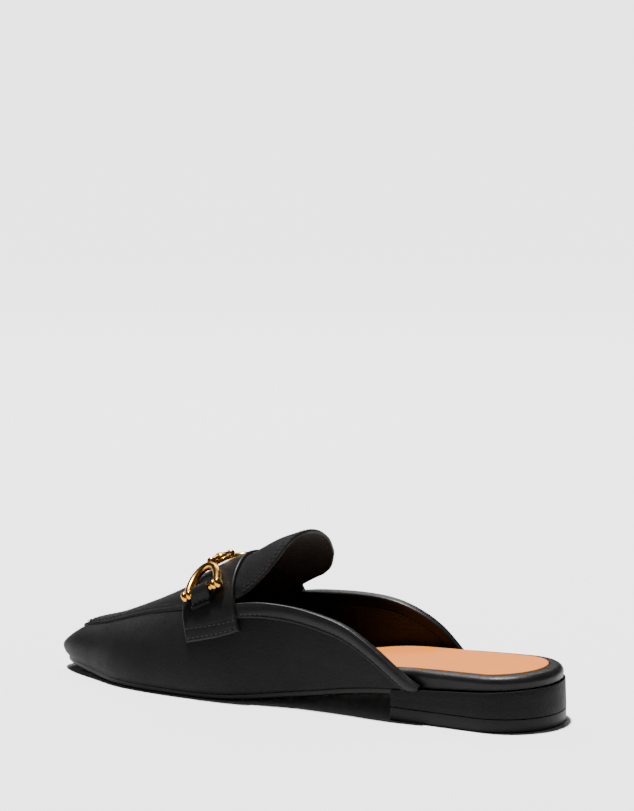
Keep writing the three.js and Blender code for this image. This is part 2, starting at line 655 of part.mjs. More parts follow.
// Tabs. x is up the girth from the bar and y out from the strap. The loop round the bar is straight.
function tabContour() {
  const turn = steps(-QUARTER_TURN, 1.4 * QUARTER_TURN, 8);
  const round = turn.map((angle) => [Math.cos(angle), 1 + Math.sin(angle)]);
  return [
    [-TAB_LENGTH, 0],
    [-TAB_LENGTH / 2, 0],
    ...round.map(([x, y]) => [BAR_CLEARANCE * x, BAR_CLEARANCE * y]),
    [-TAB_LENGTH / 2, 2 * TAB_LEATHER],
    [-TAB_LENGTH, 2 * TAB_LEATHER],
  ].map(([x, y]) => new THREE.Vector2(x, y));
}

function makeTab(side) {
  const radius = WIRE_RADIUS + GAP;
  const hole = steps(0, -4 * QUARTER_TURN, WIRE_SIDES).slice(1).map((angle) => {
    return new THREE.Vector2(radius * Math.cos(angle), BAR_CLEARANCE + radius * Math.sin(angle));
  });
  const across = steps(-TAB_WIDTH / 2, TAB_WIDTH / 2, 2);
  const frame = ringFrame(side);
  return sweep(across.length, tabContour, hole, (i, x, y) => {
    if (x > -BAR_CLEARANCE) {
      return new THREE.Vector3(across[i], x, y - BAR_CLEARANCE).applyMatrix4(frame);
    }
    return onLast(...besideBar(side, across[i], x), STRAP_TOP + GAP + y);
  });
}

// The link between the rings, over the ridge, with a plain domed button in its middle
const manifold = await ManifoldModule();
manifold.setup();

function solidOf(geometry) {
  const index = geometry.index ? geometry.index.array : null;
  const mesh = new manifold.Mesh({
    numProp: 3,
    vertProperties: new Float32Array(geometry.attributes.position.array),
    triVerts: new Uint32Array(index),
  });
  return new manifold.Manifold(mesh);
}

function geometryOf(solid) {
  const mesh = solid.getMesh();
  const geometry = new THREE.BufferGeometry();
  geometry.setAttribute("position", new THREE.Float32BufferAttribute(mesh.vertProperties, 3));
  geometry.setIndex([...mesh.triVerts]);
  return geometry;
}

function makeLink() {
  const u = placeOf(-1, LINK_STATION);
  const [, start] = besideBar(-1, 0, RING_REACH + GAP);
  const girths = steps(start, 2 - start, 8);
  const centres = girths.map((t) => onLast(u, t, LINK_HEIGHT));
  const along = onLast(u - 1e-3, 1, 0).sub(onLast(u + 1e-3, 1, 0)).normalize();
  const loops = centres.map((centre, i) => {
    const [before, after] = [centres[Math.max(0, i - 1)], centres[Math.min(8, i + 1)]];
    const out = after.clone().sub(before).cross(along).normalize();
    return steps(0, 4 * QUARTER_TURN, WIRE_SIDES).slice(1).map((angle) => {
      const point = centre.clone().addScaledVector(along, LINK_RADIUS * Math.cos(angle));
      return point.addScaledVector(out, LINK_RADIUS * Math.sin(angle));
    });
  });
  const fan = (loop) => loop.slice(2).map((_, k) => [loop[0], loop[k + 1], loop[k + 2]]);
  const ends = [...fan([...loops[0]].reverse()), ...fan(loops[loops.length - 1])];
  return meshOf([...sweepSides(loops), ...ends]);
}

function makeRosette() {
  const rim = 0.35 * ROSETTE_HEIGHT;
  const dome = steps(0, QUARTER_TURN, 4).map((angle) => [
    0.72 * ROSETTE_RADIUS * Math.cos(angle),
    lerp(rim, ROSETTE_HEIGHT, Math.sin(angle)),
  ]);
  const profile = [[0, 0], [ROSETTE_RADIUS, 0], [ROSETTE_RADIUS, rim], ...dome];
  const loops = profile.slice(1, -1).map(([radius, height]) => {
    return steps(0, 4 * QUARTER_TURN, ROSETTE_SIDES).slice(1).map((angle) => {
      return new THREE.Vector3(radius * Math.cos(angle), radius * Math.sin(angle), height);
    });
  });
  const fan = (loop, tip) => loop.map((p, k) => [p, loop[(k + 1) % loop.length], tip]);
  const base = fan([...loops[0]].reverse(), new THREE.Vector3(0, 0, 0));
  const top = fan(loops[loops.length - 1], new THREE.Vector3(0, 0, ROSETTE_HEIGHT));
  const geometry = meshOf([...base, ...sweepSides(loops), ...top]);
  const u = placeOf(-1, LINK_STATION);
  const foot = onLast(u, 1, STRAP_TOP + 3 * GAP);
  const out = lastNormal(u, 1);
  const turn = new THREE.Quaternion().setFromUnitVectors(new THREE.Vector3(0, 0, 1), out);
  return geometry.applyQuaternion(turn).translate(foot.x, foot.y, foot.z);
}

const loafer = new THREE.Group();

function addPiece(name, geometry, colour, roughness, metalness = 0) {
  const material = new THREE.MeshStandardMaterial({ color: colour, roughness, metalness });
  const mesh = new THREE.Mesh(geometry, material);
  mesh.name = name;
  loafer.add(mesh);
}

addPiece("upper", makeUpper(), 0x1c1b1b, 0.42);
addPiece("apron", makeApron(), 0x1e1d1d, 0.4);
addPiece("saddle_strap", makeStrap(), 0x1f1e1e, 0.4);
addPiece("binding_medial", makeBinding(-1), 0x1d1c1c, 0.4);
addPiece("binding_lateral", makeBinding(1), 0x1d1c1c, 0.4);
addPiece("footbed", makeFootbed(), 0x1a1a1a, 0.42);
addPiece("insole", makeSock(), 0xd9a26b, 0.6);
addPiece("outsole", makeOutsole(), 0x161616, 0.5);
addPiece("heel_block", makeHeelBlock(), 0x1e1e1e, 0.45);
addPiece("heel_lift", makeLift(), 0x202020, 0.6);
addPiece("tab_medial", makeTab(-1), 0x1f1e1e, 0.4);
addPiece("tab_lateral", makeTab(1), 0x1f1e1e, 0.4);
addPiece("ring_medial", makeRing(-1), 0xc9a25c, 0.25, 1);
addPiece("ring_lateral", makeRing(1), 0xc9a25c, 0.25, 1);
addPiece("bit_link", geometryOf(solidOf(makeLink()).add(solidOf(makeRosette()))), 0xc9a25c, 0.25, 1);

// The origin lies under the middle of the shoe's box
const middle = new THREE.Box3().setFromObject(loafer).getCenter(new THREE.Vector3());
for (const piece of loafer.children) piece.geometry.translate(-middle.x, -middle.y, 0);

export default loafer;
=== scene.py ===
"""A backless leather loafer for the right foot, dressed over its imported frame.

Lengths in tables and functions are in millimetres and turn to metres when a mesh is made. The toe
points along -X, the medial side is -Y and +Z is up.
"""

import math

import bmesh
import bpy
import numpy as np
from mathutils import Matrix, Vector


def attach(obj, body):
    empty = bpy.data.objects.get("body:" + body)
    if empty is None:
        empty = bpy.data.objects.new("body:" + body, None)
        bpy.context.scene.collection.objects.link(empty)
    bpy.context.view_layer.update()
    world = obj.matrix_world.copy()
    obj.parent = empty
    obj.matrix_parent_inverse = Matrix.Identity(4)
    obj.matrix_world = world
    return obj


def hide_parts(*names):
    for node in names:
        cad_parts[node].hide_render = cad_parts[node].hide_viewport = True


bl_info = {
    "name": "Backless loafer",
    "version": (1, 0, 0),
    "blender": (4, 5, 0),
    "location": "View3D > Sidebar > Loafer",
    "description": "Dresses a backless loafer: leather, stitches, sock, heel and metal rings",
    "category": "Object",
}

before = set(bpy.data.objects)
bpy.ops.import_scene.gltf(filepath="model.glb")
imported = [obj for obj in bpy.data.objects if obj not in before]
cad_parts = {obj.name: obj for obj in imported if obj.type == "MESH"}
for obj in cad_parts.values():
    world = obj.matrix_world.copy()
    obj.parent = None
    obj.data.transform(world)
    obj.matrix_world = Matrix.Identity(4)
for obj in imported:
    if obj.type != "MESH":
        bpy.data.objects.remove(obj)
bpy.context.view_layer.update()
MM = 0.001

# Driving sizes, as in the part's source
LENGTH = 262
BALL_WIDTH = 81
INSTEP_HEIGHT = 62
HEEL_HEIGHT = 20.4
TOE_SPRING = 3.4
SOLE_THICKNESS = 2.8
SOLE_INSET = 0.9
SOLE_ROUND = 1.1
HEEL_LENGTH = 73
LIFT_THICKNESS = 6.3
LIFT_FLARE = 0.5
WALL = 1.8
OVERLAY = 1.5
BINDING = 0.9
GAP = 0.3
FOOTBED_THICKNESS = 8
FOOTBED_ROLL = 3.4
SOCK_THICKNESS = 1.2
SOCK_MARGIN = 6
BINDING_WIDTH = 6.4
RING_WIRE = 3.2
RING_SPAN = 19.4
RING_REACH = 19
RING_CORNER = 2.4
RING_RISE = 2.2
TAB_WIDTH = 9
TAB_LENGTH = 6
TAB_LEATHER = 1.1
LINK_RADIUS = 1.3
ROSETTE_RADIUS = 5
ROSETTE_HEIGHT = 5

SWELL_DEPTH = 0.7  # below 1, a section swells most below its middle
HEEL_ROUND = 0.1165
TOE_ROUND = 0.16
APEX = 0.86
FAN = 0.3
TREAD_BACK = 0.64
TREAD_FRONT = 0.76
COLLAR_BACK = 0.224
COLLAR_FRONT = 0.59
THROAT = 0.628
TONGUE_FRONT = 0.592
LINING_START = 0.235
LINING_TURN = 0.265
HEM_TILT = 0.022
RING_STATION = 0.652
RING_GIRTH = 0.592
RING_SLANT = 0.04
LINK_STATION = 0.662

# Sections of the last: at runs from 0 at the heel to 1 at the toe. axis, half and ridge are shares of
# BALL_WIDTH and crest of INSTEP_HEIGHT. fullness is how square a section is, swell how far it bulges.
LAST_COLUMNS = ("at", "axis", "half", "ridge", "crest", "fullness", "swell")
LAST_SECTIONS = (
    (0, 0, 0.358, 0, 1.4, 2, 0.06),
    (0.1, 0.002, 0.358, 0, 1.4, 2, 0.06),
    (0.2, 0.004, 0.351, 0, 1.4, 2, 0.06),
    (0.3, 0.007, 0.341, -0.02, 1.4, 2, 0.06),
    (0.4, 0.044, 0.352, -0.03, 1.36, 2, 0.06),
    (0.45, 0.064, 0.37, -0.03, 1.31, 2, 0.06),
    (0.5, 0.08, 0.395, -0.03, 1.245, 2, 0.06),
    (0.55, 0.087, 0.44, -0.02, 1.16, 2, 0.06),
    (0.6, 0.089, 0.48, -0.01, 1.035, 2, 0.06),
    (0.65, 0.094, 0.495, 0, 0.925, 2.05, 0.06),
    (0.7, 0.096, 0.496, 0.015, 0.805, 2.15, 0.06),
    (0.75, 0.088, 0.476, 0.03, 0.69, 2.25, 0.06),
    (0.8, 0.073, 0.44, 0.04, 0.588, 2.4, 0.06),
    (0.85, 0.06, 0.383, 0.04, 0.497, 2.6, 0.07),
    (0.9, 0.046, 0.309, 0.04, 0.42, 3, 0.08),
    (0.95, 0.034, 0.255, 0.03, 0.375, 3.15, 0.125),
    (1, 0.02, 0.22, 0.02, 0.284, 3.15, 0.09),
)

# The sole: rise is the seat's height, footbed a thickness, rim and sock how far in their edges lie.
SOLE_COLUMNS = ("at", "rise", "footbed", "rim", "sock")
SOLE_SECTIONS = (
    (0, 1, 0.6, 0.12, 1.3),
    (0.1, 0.886, 0.68, 0.35, 1.3),
    (0.2, 0.773, 0.86, 0.42, 1.27),
    (0.25, 0.715, 0.95, 0.58, 1.16),
    (0.3, 0.648, 1, 0.58, 0.94),
    (0.36, 0.53, 1, 0.42, 0.64),
    (0.43, 0.35, 0.93, 0.36, 0.5),
    (0.5, 0.185, 0.78, 0.36, 0.42),
    (0.58, 0.05, 0.6, 0.36, 0.42),
    (0.64, 0, 0.5, 0.36, 0.42),
)

# Finished edge of each collar, as a share of the way from the sole up to the ridge.
TOPLINE = (
    (0.224, 0.012, 0.03),
    (0.24, 0.038, 0.073),
    (0.27, 0.09, 0.15),
    (0.3, 0.146, 0.206),
    (0.33, 0.197, 0.247),
    (0.37, 0.258, 0.286),
    (0.42, 0.315, 0.317),
    (0.47, 0.367, 0.341),
    (0.52, 0.414, 0.361),
    (0.56, 0.453, 0.38),
    (0.59, 0.483, 0.4),
)

# Edge of the apron in the same measure.
APRON_EDGE = (
    (0.592, 0.502, 0.42),
    (0.65, 0.522, 0.468),
    (0.71, 0.571, 0.54),
    (0.78, 0.664, 0.65),
    (0.85, 0.742, 0.742),
    (0.93, 0.728, 0.728),
    (0.975, 0.665, 0.665),
    (1, 0.61, 0.61),
)
SIDE_COLUMNS = ("at", "medial", "lateral")

# Free edge of the tongue: girth runs from 0 at the sole over 1 on the ridge to 2 on the other side.
TONGUE_EDGE = (
    (0.502, 0.592),
    (0.533, 0.565),
    (0.602, 0.54),
    (0.702, 0.523),
    (0.849, 0.51),
    (1, 0.492),
    (1.15, 0.484),
    (1.3, 0.481),
    (1.42, 0.486),
    (1.494, 0.499),
    (1.54, 0.514),
    (1.58, 0.592),
)
TONGUE_COLUMNS = ("girth", "end")

# Edges of the saddle strap round the girth.
STRAP_EDGES = (
    (0.29, 0.575, 0.677),
    (0.32, 0.578, 0.68),
    (0.38, 0.583, 0.685),
    (0.5, 0.592, 0.694),
    (0.62, 0.599, 0.703),
    (0.76, 0.602, 0.711),
    (0.9, 0.604, 0.717),
    (1, 0.606, 0.72),
    (1.1, 0.604, 0.717),
    (1.24, 0.6, 0.711),
    (1.38, 0.594, 0.703),
    (1.5, 0.588, 0.694),
    (1.7, 0.575, 0.681),
    (1.75, 0.571, 0.677),
)
STRAP_COLUMNS = ("girth", "back", "front")
CLIMB_FROM, CLIMB_TO = 0.26, 0.52  # girths where the strap climbs over the apron's edge
DROP_FROM, DROP_TO = 1.52, 1.77  # and where it comes down on the other side
HEM_FADE = 0.5  # girth where the tilt of its hem has faded

# Soft creases in the vamp: station and girth of both ends, depth and half-width.
CREASES = (
    (0.74, 0.16, 0.775, 0.5, 0.12, 5),
    (0.69, 0.1, 0.7, 0.3, 0.12, 6),
    (0.725, 1.55, 0.745, 1.85, 0.15, 5),
    (0.55, 0.06, 0.6, 0.3, 0.16, 6),
    (0.46, 0.04, 0.5, 0.26, 0.14, 6),
)
CREASE_END = 0.02  # share of a crease's length beyond which it doesn't fade further
CREASE_FADE = 0.6  # below 1, a crease keeps its depth nearer to its ends
CREASE_BANK = 0.45  # height of the soft bank beside a crease, as a share of its depth

# Middle of the shoe's box over the last's own frame. The finished shoe has its origin under it.
MIDDLE = np.array([-0.594, 7.946, 0])

QUARTER = math.pi / 2


def column(table, names, name, straight=False):
    """A curve through one column of a table over its first: a natural cubic spline, or straight lines."""
    place = names.index(name)
    x = np.array([row[0] for row in table], float)
    y = np.array([row[place] for row in table], float)
    if straight:
        return lambda at: np.interp(at, x, y)
    rows = len(x)
    step = np.diff(x)
    system = np.eye(rows)
    right = np.zeros(rows)
    for i in range(1, rows - 1):
        system[i, i - 1 : i + 2] = step[i - 1], 2 * (step[i - 1] + step[i]), step[i]
        right[i] = 6 * ((y[i + 1] - y[i]) / step[i] - (y[i] - y[i - 1]) / step[i - 1])
    bend = np.linalg.solve(system, right)

    def curve(at):
        p = np.clip(at, x[0], x[-1])
        i = np.clip(np.searchsorted(x, p) - 1, 0, rows - 2)
        high = (p - x[i]) / step[i]
        low = 1 - high
        lift = (low**3 - low) * bend[i] + (high**3 - high) * bend[i + 1]
        return low * y[i] + high * y[i + 1] + lift * step[i] ** 2 / 6

    return curve


axis_share, half_share, ridge_share, crest_share, fullness, swell = (
    column(LAST_SECTIONS, LAST_COLUMNS, name) for name in LAST_COLUMNS[1:]
)
rise_share = column(SOLE_SECTIONS, SOLE_COLUMNS, "rise")
footbed_share, rim_share, sock_share = (
    column(SOLE_SECTIONS, SOLE_COLUMNS, name, straight=True) for name in SOLE_COLUMNS[2:]
)
topline = {s: column(TOPLINE, SIDE_COLUMNS, n) for s, n in ((-1, "medial"), (1, "lateral"))}
apron_edge = {s: column(APRON_EDGE, SIDE_COLUMNS, n) for s, n in ((-1, "medial"), (1, "lateral"))}
tongue_end = column(TONGUE_EDGE, TONGUE_COLUMNS, "end", straight=True)
strap_back, strap_front = (column(STRAP_EDGES, STRAP_COLUMNS, n) for n in ("back", "front"))


def lerp(a, b, share):
    return a + (b - a) * share


def unit(vectors):
    return vectors / np.linalg.norm(vectors, axis=-1, keepdims=True)


def smooth(low, high, value):
    """0 below low and 1 above high, with a soft turn between."""
    share = np.clip((value - low) / (high - low), 0, 1)
    return share * share * (3 - 2 * share)


def strap_lift(girth):
    """How far the strap clears the apron, from 0 to 1."""
    return smooth(CLIMB_FROM, CLIMB_TO, girth) * (1 - smooth(DROP_FROM, DROP_TO, girth))


def hem_nearness(girth):
    """1 at either hem of the strap, falling to 0 where it reaches the apron."""
    near, far = STRAP_EDGES[0][0], STRAP_EDGES[-1][0]
    past = 2 - HEM_FADE
    return np.maximum(0, np.maximum((HEM_FADE - girth) / (HEM_FADE - near), (girth - past) / (far - past)))


def on_strap(girth, share):
    """Place of a point of the strap: its station and girth. share runs from the back edge to the front."""
    tilted = girth + HEM_TILT * (1 - share) * hem_nearness(girth) * np.sign(1 - girth)
    return lerp(strap_back(girth), strap_front(girth), share), tilted


def x_of(at):
    return LENGTH * (0.5 - at)


def sole_under(at):
    spring = np.clip((at - TREAD_FRONT) / (1 - TREAD_FRONT), 0, 1)
    seat = (HEEL_HEIGHT - SOLE_THICKNESS) * np.maximum(0, rise_share(at))
    return np.where(at < TREAD_BACK, seat, TOE_SPRING * spring**2)


def bed_at(at):
    return sole_under(at) + SOLE_THICKNESS


def half_at(at):
    heel = np.clip(1 - at / HEEL_ROUND, 0, 1)
    toe = np.clip((at - (1 - TOE_ROUND)) / TOE_ROUND, 0, 1)
    return BALL_WIDTH * half_share(at) * np.sqrt(1 - heel**2) * np.sqrt(1 - toe**2)


def outline(side, at, inset=0.0):
    """A point of the outline in plan, moved in by inset. side is -1 for medial and 1 for lateral."""
    at = np.asarray(at, float)
    step = 1e-4

    def edge(place):
        return BALL_WIDTH * axis_share(place) + side * half_at(place)

    back, ahead = np.clip(at - step, 0, 1), np.clip(at + step, 0, 1)
    along_x = x_of(ahead) - x_of(back)
    along_y = edge(ahead) - edge(back)
    size = np.hypot(along_x, along_y)
    along_x, along_y = along_x / size, along_y / size
    at_heel, at_toe = at < step, at > 1 - step
    along_x = np.where(at_heel | at_toe, 0, along_x)
    along_y = np.where(at_heel, side, np.where(at_toe, -side, along_y))
    return x_of(at) - side * along_y * inset, edge(at) + side * along_x * inset


def station_of(u):
    along = np.abs(u)
    fan = APEX + (1 - APEX) * np.cos(np.minimum(along / FAN, 1) * QUARTER)
    return np.where(along >= FAN, APEX * (1 - along) / (1 - FAN), fan)


def place_of(side, at):
    return side * (1 - (at / APEX) * (1 - FAN))


def round_toe(stations, count=61):
    """Places at stations on the medial side, on round the toe and back on the lateral side."""
    medial = place_of(-1, stations)
    return np.concatenate([medial, np.linspace(-FAN, FAN, count)[1:-1], -medial[::-1]])


def last_point(u, t):
    """The last's surface. u runs from the heel round the toe and back, t from the sole to the ridge."""
    u, t = np.broadcast_arrays(np.asarray(u, float), np.asarray(t, float))
    u, t = np.where(t > 1, -u, u), np.where(t > 1, 2 - t, t)
    at = station_of(u)
    head = np.minimum(at, APEX)
    foot_x, foot_y = outline(np.where(u < 0, -1.0, 1.0), at)
    power = 2 / fullness(at)
    bulge = 1 + swell(at) * np.sin(2 * t**SWELL_DEPTH * QUARTER)
    reach = np.maximum(0, np.cos(t * QUARTER)) ** power * bulge
    x = lerp(x_of(head), foot_x, reach)
    y = lerp(BALL_WIDTH * ridge_share(head), foot_y, reach)
    height = np.maximum(0, np.sin(t * QUARTER)) ** power
    z = lerp(bed_at(at), INSTEP_HEIGHT * crest_share(0.5 - x / LENGTH), height)
    return np.stack([x, y, z], -1)


def last_normal(u, t):
    step = 1e-3
    on_ridge = (np.abs(u) < FAN) & (t > 1 - 2 * step)
    u = np.where(on_ridge, -FAN - step, u)
    t = np.where(on_ridge, 1.0, t)
    up = last_point(u, t + step) - last_point(u, np.maximum(0, t - step))
    ahead = last_point(u + step, t) - last_point(u - step, t)
    return unit(np.cross(up, ahead))


def crease_depth(u, t):
    """How far the soft creases pull the leather in at a place."""
    place = np.stack([station_of(u) * LENGTH, t * BALL_WIDTH], -1)
    depth = np.zeros(np.shape(u))
    for at_a, girth_a, at_b, girth_b, deep, wide in CREASES:
        start = np.array([at_a * LENGTH, girth_a * BALL_WIDTH])
        run = np.array([at_b * LENGTH, girth_b * BALL_WIDTH]) - start
        share = np.clip((place - start) @ run / (run @ run), 0, 1)
        away = np.linalg.norm(place - start - share[..., None] * run, axis=-1)
        fade = np.sin(np.pi * np.clip(share, CREASE_END, 1 - CREASE_END)) ** CREASE_FADE
        bank = CREASE_BANK * np.exp(-((away / wide / 2) ** 2))
        depth += deep * fade * (np.exp(-((away / wide) ** 2)) - bank)
    return depth


def on_last(u, t, out):
    """The last's surface with out millimetres added."""
    u, t, out = np.broadcast_arrays(*(np.asarray(v, float) for v in (u, t, out)))
    girth = np.where(u < 0, t, 2 - t)
    u, t = np.where(t > 1, -u, u), np.where(t > 1, 2 - t, t)
    u = np.where(t == 1, -np.abs(u), u)
    sunk = out - crease_depth(u, girth)
    return last_point(u, t) + last_normal(u, t) * sunk[..., None]


def girth_speed(u, t):
    step = 1e-3
    return np.linalg.norm(last_point(u, t + step) - last_point(u, t), axis=-1) / step


def collar_edge(side, at):
    """The upper's own edge, one binding below the finished collar."""
    finished = topline[side](at)
    return np.maximum(0, finished - (GAP + BINDING) / girth_speed(place_of(side, at), finished))


def upper_edge(side, at):
    past = np.clip((at - COLLAR_FRONT) / (THROAT - COLLAR_FRONT), 0, 1)
    return 1 - (1 - collar_edge(side, at)) * np.sqrt(1 - past**2)


def apron_edge_at(u):
    at = station_of(u)
    return np.where(u < 0, apron_edge[-1](at), apron_edge[1](at))


# Meshes
MERGE = 2e-6  # points closer than this many metres become one
NO_LENGTH = 1e-7  # edges shorter than this many metres go
LAID = 0.02  # gap under a leather that lies on another


def srgb(code):
    """A colour written as sRGB hex, as linear values."""
    parts = [int(code[i : i + 2], 16) / 255 for i in (1, 3, 5)]
    return [p / 12.92 if p <= 0.04045 else ((p + 0.055) / 1.055) ** 2.4 for p in parts]


def placed(points):
    """Points of the last's frame, in millimetres, as metres about the shoe's origin."""
    return ((np.asarray(points) - MIDDLE) * MM).tolist()


def add_object(name, data):
    made = bpy.data.objects.new(name, data)
    bpy.context.scene.collection.objects.link(made)
    return made


def add_piece(name, points, faces, materials, slots=None, sharp=40):
    """A piece from points in millimetres. Doubles are merged and its faces turned out."""
    mesh = bpy.data.meshes.new(name)
    mesh.from_pydata(placed(points), [], faces)
    for material in materials:
        mesh.materials.append(material)
    if slots is not None:
        mesh.polygons.foreach_set("material_index", slots)
    work = bmesh.new()
    work.from_mesh(mesh)
    bmesh.ops.remove_doubles(work, verts=work.verts, dist=MERGE)
    bmesh.ops.dissolve_degenerate(work, edges=work.edges, dist=NO_LENGTH)
    bmesh.ops.recalc_face_normals(work, faces=work.faces)
    work.to_mesh(mesh)
    work.free()
    mesh.shade_smooth()
    mesh.set_sharp_from_angle(angle=math.radians(sharp))
    return add_object(name, mesh)


def finish_piece(piece, slot, *nodes):
    """Fixes a piece to the shoe, in place of the frame's plain solids."""
    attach(piece, "root")
    if nodes:
        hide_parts(*nodes)


def run_along(points, axis):
    """Distance along a grid of points from its first row or column."""
    steps = np.linalg.norm(np.diff(points, axis=axis), axis=-1)
    start = np.zeros_like(np.take(steps, [0], axis=axis))
    return np.concatenate([start, np.cumsum(steps, axis=axis)], axis=axis)


def from_ends(points, axis):
    """Distance along a grid of points from the nearer of its first and last row or column."""
    run = run_along(points, axis)
    return np.minimum(run, np.take(run, [-1], axis=axis) - run)


def grid_quads(rows, columns, start=0):
    i = start + np.arange(rows * columns).reshape(rows, columns)
    quads = np.stack([i[:-1, :-1], i[:-1, 1:], i[1:, 1:], i[1:, :-1]], -1)
    return quads.reshape(-1, 4)


def shell(name, grids, materials):
    """A leather with two faces over the last. grids are (u, t, outer height, inner height) each.
    The first material is the outside's and the second the inside's."""
    base, outer, inner, quads = [], [], [], []
    for u, t, high, low in grids:
        u, t, high, low = np.broadcast_arrays(u, t, high, low)
        quads.append(grid_quads(*u.shape, start=sum(len(b) for b in base)))
        base.append(np.round(last_point(u, t), 3).reshape(-1, 3))
        outer.append(on_last(u, t, high).reshape(-1, 3))
        inner.append(on_last(u, t, low).reshape(-1, 3))
    _, first, same = np.unique(np.concatenate(base), axis=0, return_index=True, return_inverse=True)
    outer = np.concatenate(outer)[first]
    inner = np.concatenate(inner)[first]
    count = len(outer)
    loops = []
    for quad in same.reshape(-1)[np.concatenate(quads)]:
        loop = [int(v) for k, v in enumerate(quad) if v != quad[k - 1]]
        if len(set(loop)) >= 3 and len(set(loop)) == len(loop):
            loops.append(loop)
    edges = {(a, b) for loop in loops for a, b in zip(loop, loop[1:] + loop[:1])}
    open_edges = [(a, b) for a, b in edges if (b, a) not in edges]
    faces = loops + [[v + count for v in reversed(loop)] for loop in loops]
    faces += [[b, a, a + count, b + count] for a, b in open_edges]
    slots = [0] * len(loops) + [1] * len(loops) + [0] * len(open_edges)
    return add_piece(name, np.concatenate([outer, inner]), faces, materials, slots)


def rolled(away, radius):
    """How far a rounded edge drops below the face at a distance from the edge."""
    share = np.clip(1 - away / radius, 0, 1)
    return radius * (1 - np.sqrt(1 - share**2))


def trough(away, centre, wide, deep):
    return deep * np.exp(-(((away - centre) / wide) ** 2))


def fine_ends(count, fine, start=True, end=True):
    """Shares from 0 to 1, close together within the share `fine` of the rounded ends."""
    close = fine * np.array([0, 0.08, 0.22, 0.45, 0.7, 1])
    low = close if start else np.array([0.0])
    high = 1 - close[::-1] if end else np.array([1.0])
    middle = np.linspace(low[-1], high[0], count + 1)[1:-1]
    return np.concatenate([low, middle, high])


def sweep_faces(rows, columns, caps=True):
    """Faces of closed loops of points in a row, with its ends closed."""
    faces = []
    for i in range(rows - 1):
        for k in range(columns):
            n = (k + 1) % columns
            faces.append([i * columns + k, i * columns + n, (i + 1) * columns + n, (i + 1) * columns + k])
    if caps:
        faces.append(list(range(columns)))
        faces.append(list(range((rows - 1) * columns, rows * columns)))
    return faces


# Materials
def add_node(tree, kind, sockets=None, **settings):
    """Adds one node. settings are its properties; sockets are values, or another node's output."""
    made = tree.nodes.new(kind)
    for key, value in settings.items():
        setattr(made, key, value)
    for key, value in (sockets or {}).items():
        if isinstance(value, bpy.types.NodeSocket):
            tree.links.new(value, made.inputs[key])
        else:
            made.inputs[key].default_value = value
    return made


def new_material(name, colour, **values):
    """A material with its shader. values are the shader's own sockets, spaces written as _."""
    material = bpy.data.materials.new(name)
    material.use_nodes = True
    material.diffuse_color = (*colour, 1)
    shader = material.node_tree.nodes["Principled BSDF"]
    shader.inputs["Base Color"].default_value = (*colour, 1)
    for key, value in values.items():
        shader.inputs[key.replace("_", " ")].default_value = value
    return material, material.node_tree, shader


GRAIN_BEND = 0.0012  # how strongly noise bends the pebbles out of line
PEBBLE_SOFTNESS = 0.6
PORE_SIZE = 0.45  # as a share of the pebble grain's
SWELL_SIZE, SWELL_HEIGHT = 11, 0.35  # slow unevenness of lasted leather, in millimetres
PATCH_SIZE = 6  # of the dye and gloss, in millimetres
PATCH_LOW, PATCH_HIGH = 0.3, 0.7  # range of the noise that the gloss follows


def leather(name, colour, roughness, grain, depth, mottle, shine):
    """Drum-dyed leather with a fine pebble grain. grain and depth are in millimetres, mottle is how
    much the dye and gloss vary, shine how strongly its finish reflects."""
    material, tree, shader = new_material(name, colour, Roughness=roughness, Specular_IOR_Level=shine)
    place = add_node(tree, "ShaderNodeTexCoord").outputs["Object"]
    warp, pores, swells, patches = (
        add_node(tree, "ShaderNodeTexNoise", {"Vector": place, "Scale": 1 / (size * MM), "Detail": detail})
        for size, detail in ((4 * grain, 2.0), (PORE_SIZE * grain, 3.0), (SWELL_SIZE, 2.0), (PATCH_SIZE, 4.0))
    )
    bend = {0: GRAIN_BEND, 4: place, 5: warp.outputs["Color"]}
    bent = add_node(tree, "ShaderNodeMix", bend, data_type="VECTOR").outputs[1]
    pebbles = {"Vector": bent, "Scale": 1 / (grain * MM), "Smoothness": PEBBLE_SOFTNESS}
    cells = add_node(tree, "ShaderNodeTexVoronoi", pebbles, feature="SMOOTH_F1")
    relief = {}
    for strength, high, height in (
        (0.5, SWELL_HEIGHT, swells.outputs["Fac"]),
        (0.6, 0.5 * depth, pores.outputs["Fac"]),
        (0.7, depth, cells.outputs["Distance"]),
    ):
        sockets = {"Strength": strength, "Distance": high * MM, "Height": height, **relief}
        relief = {"Normal": add_node(tree, "ShaderNodeBump", sockets).outputs["Normal"]}
    tree.links.new(relief["Normal"], shader.inputs["Normal"])
    dull, glossy = roughness + 0.5 * mottle, roughness - 0.5 * mottle
    spread = {"From Min": PATCH_LOW, "From Max": PATCH_HIGH, "To Min": glossy, "To Max": dull}
    gloss = add_node(tree, "ShaderNodeMapRange", {"Value": patches.outputs["Fac"], **spread})
    tree.links.new(gloss.outputs["Result"], shader.inputs["Roughness"])
    dark, light = ([min(1, c * (1 + change)) for c in colour] for change in (-mottle, mottle))
    dyes = {0: patches.outputs["Fac"], 6: (*dark, 1), 7: (*light, 1)}
    dye = add_node(tree, "ShaderNodeMix", dyes, data_type="RGBA")
    tree.links.new(dye.outputs[2], shader.inputs["Base Color"])
    return material


def moulded(name, colour, roughness, speck, depth, shine):
    """Moulded rubber: an even matt skin with a faint speckle, speck and depth in millimetres."""
    material, tree, shader = new_material(name, colour, Roughness=roughness, Specular_IOR_Level=shine)
    place = add_node(tree, "ShaderNodeTexCoord").outputs["Object"]
    specks = {"Vector": place, "Scale": 1 / (speck * MM), "Detail": 3.0}
    height = add_node(tree, "ShaderNodeTexNoise", specks).outputs["Fac"]
    bump = add_node(tree, "ShaderNodeBump", {"Strength": 0.6, "Distance": depth * MM, "Height": height})
    tree.links.new(bump.outputs["Normal"], shader.inputs["Normal"])
    return material


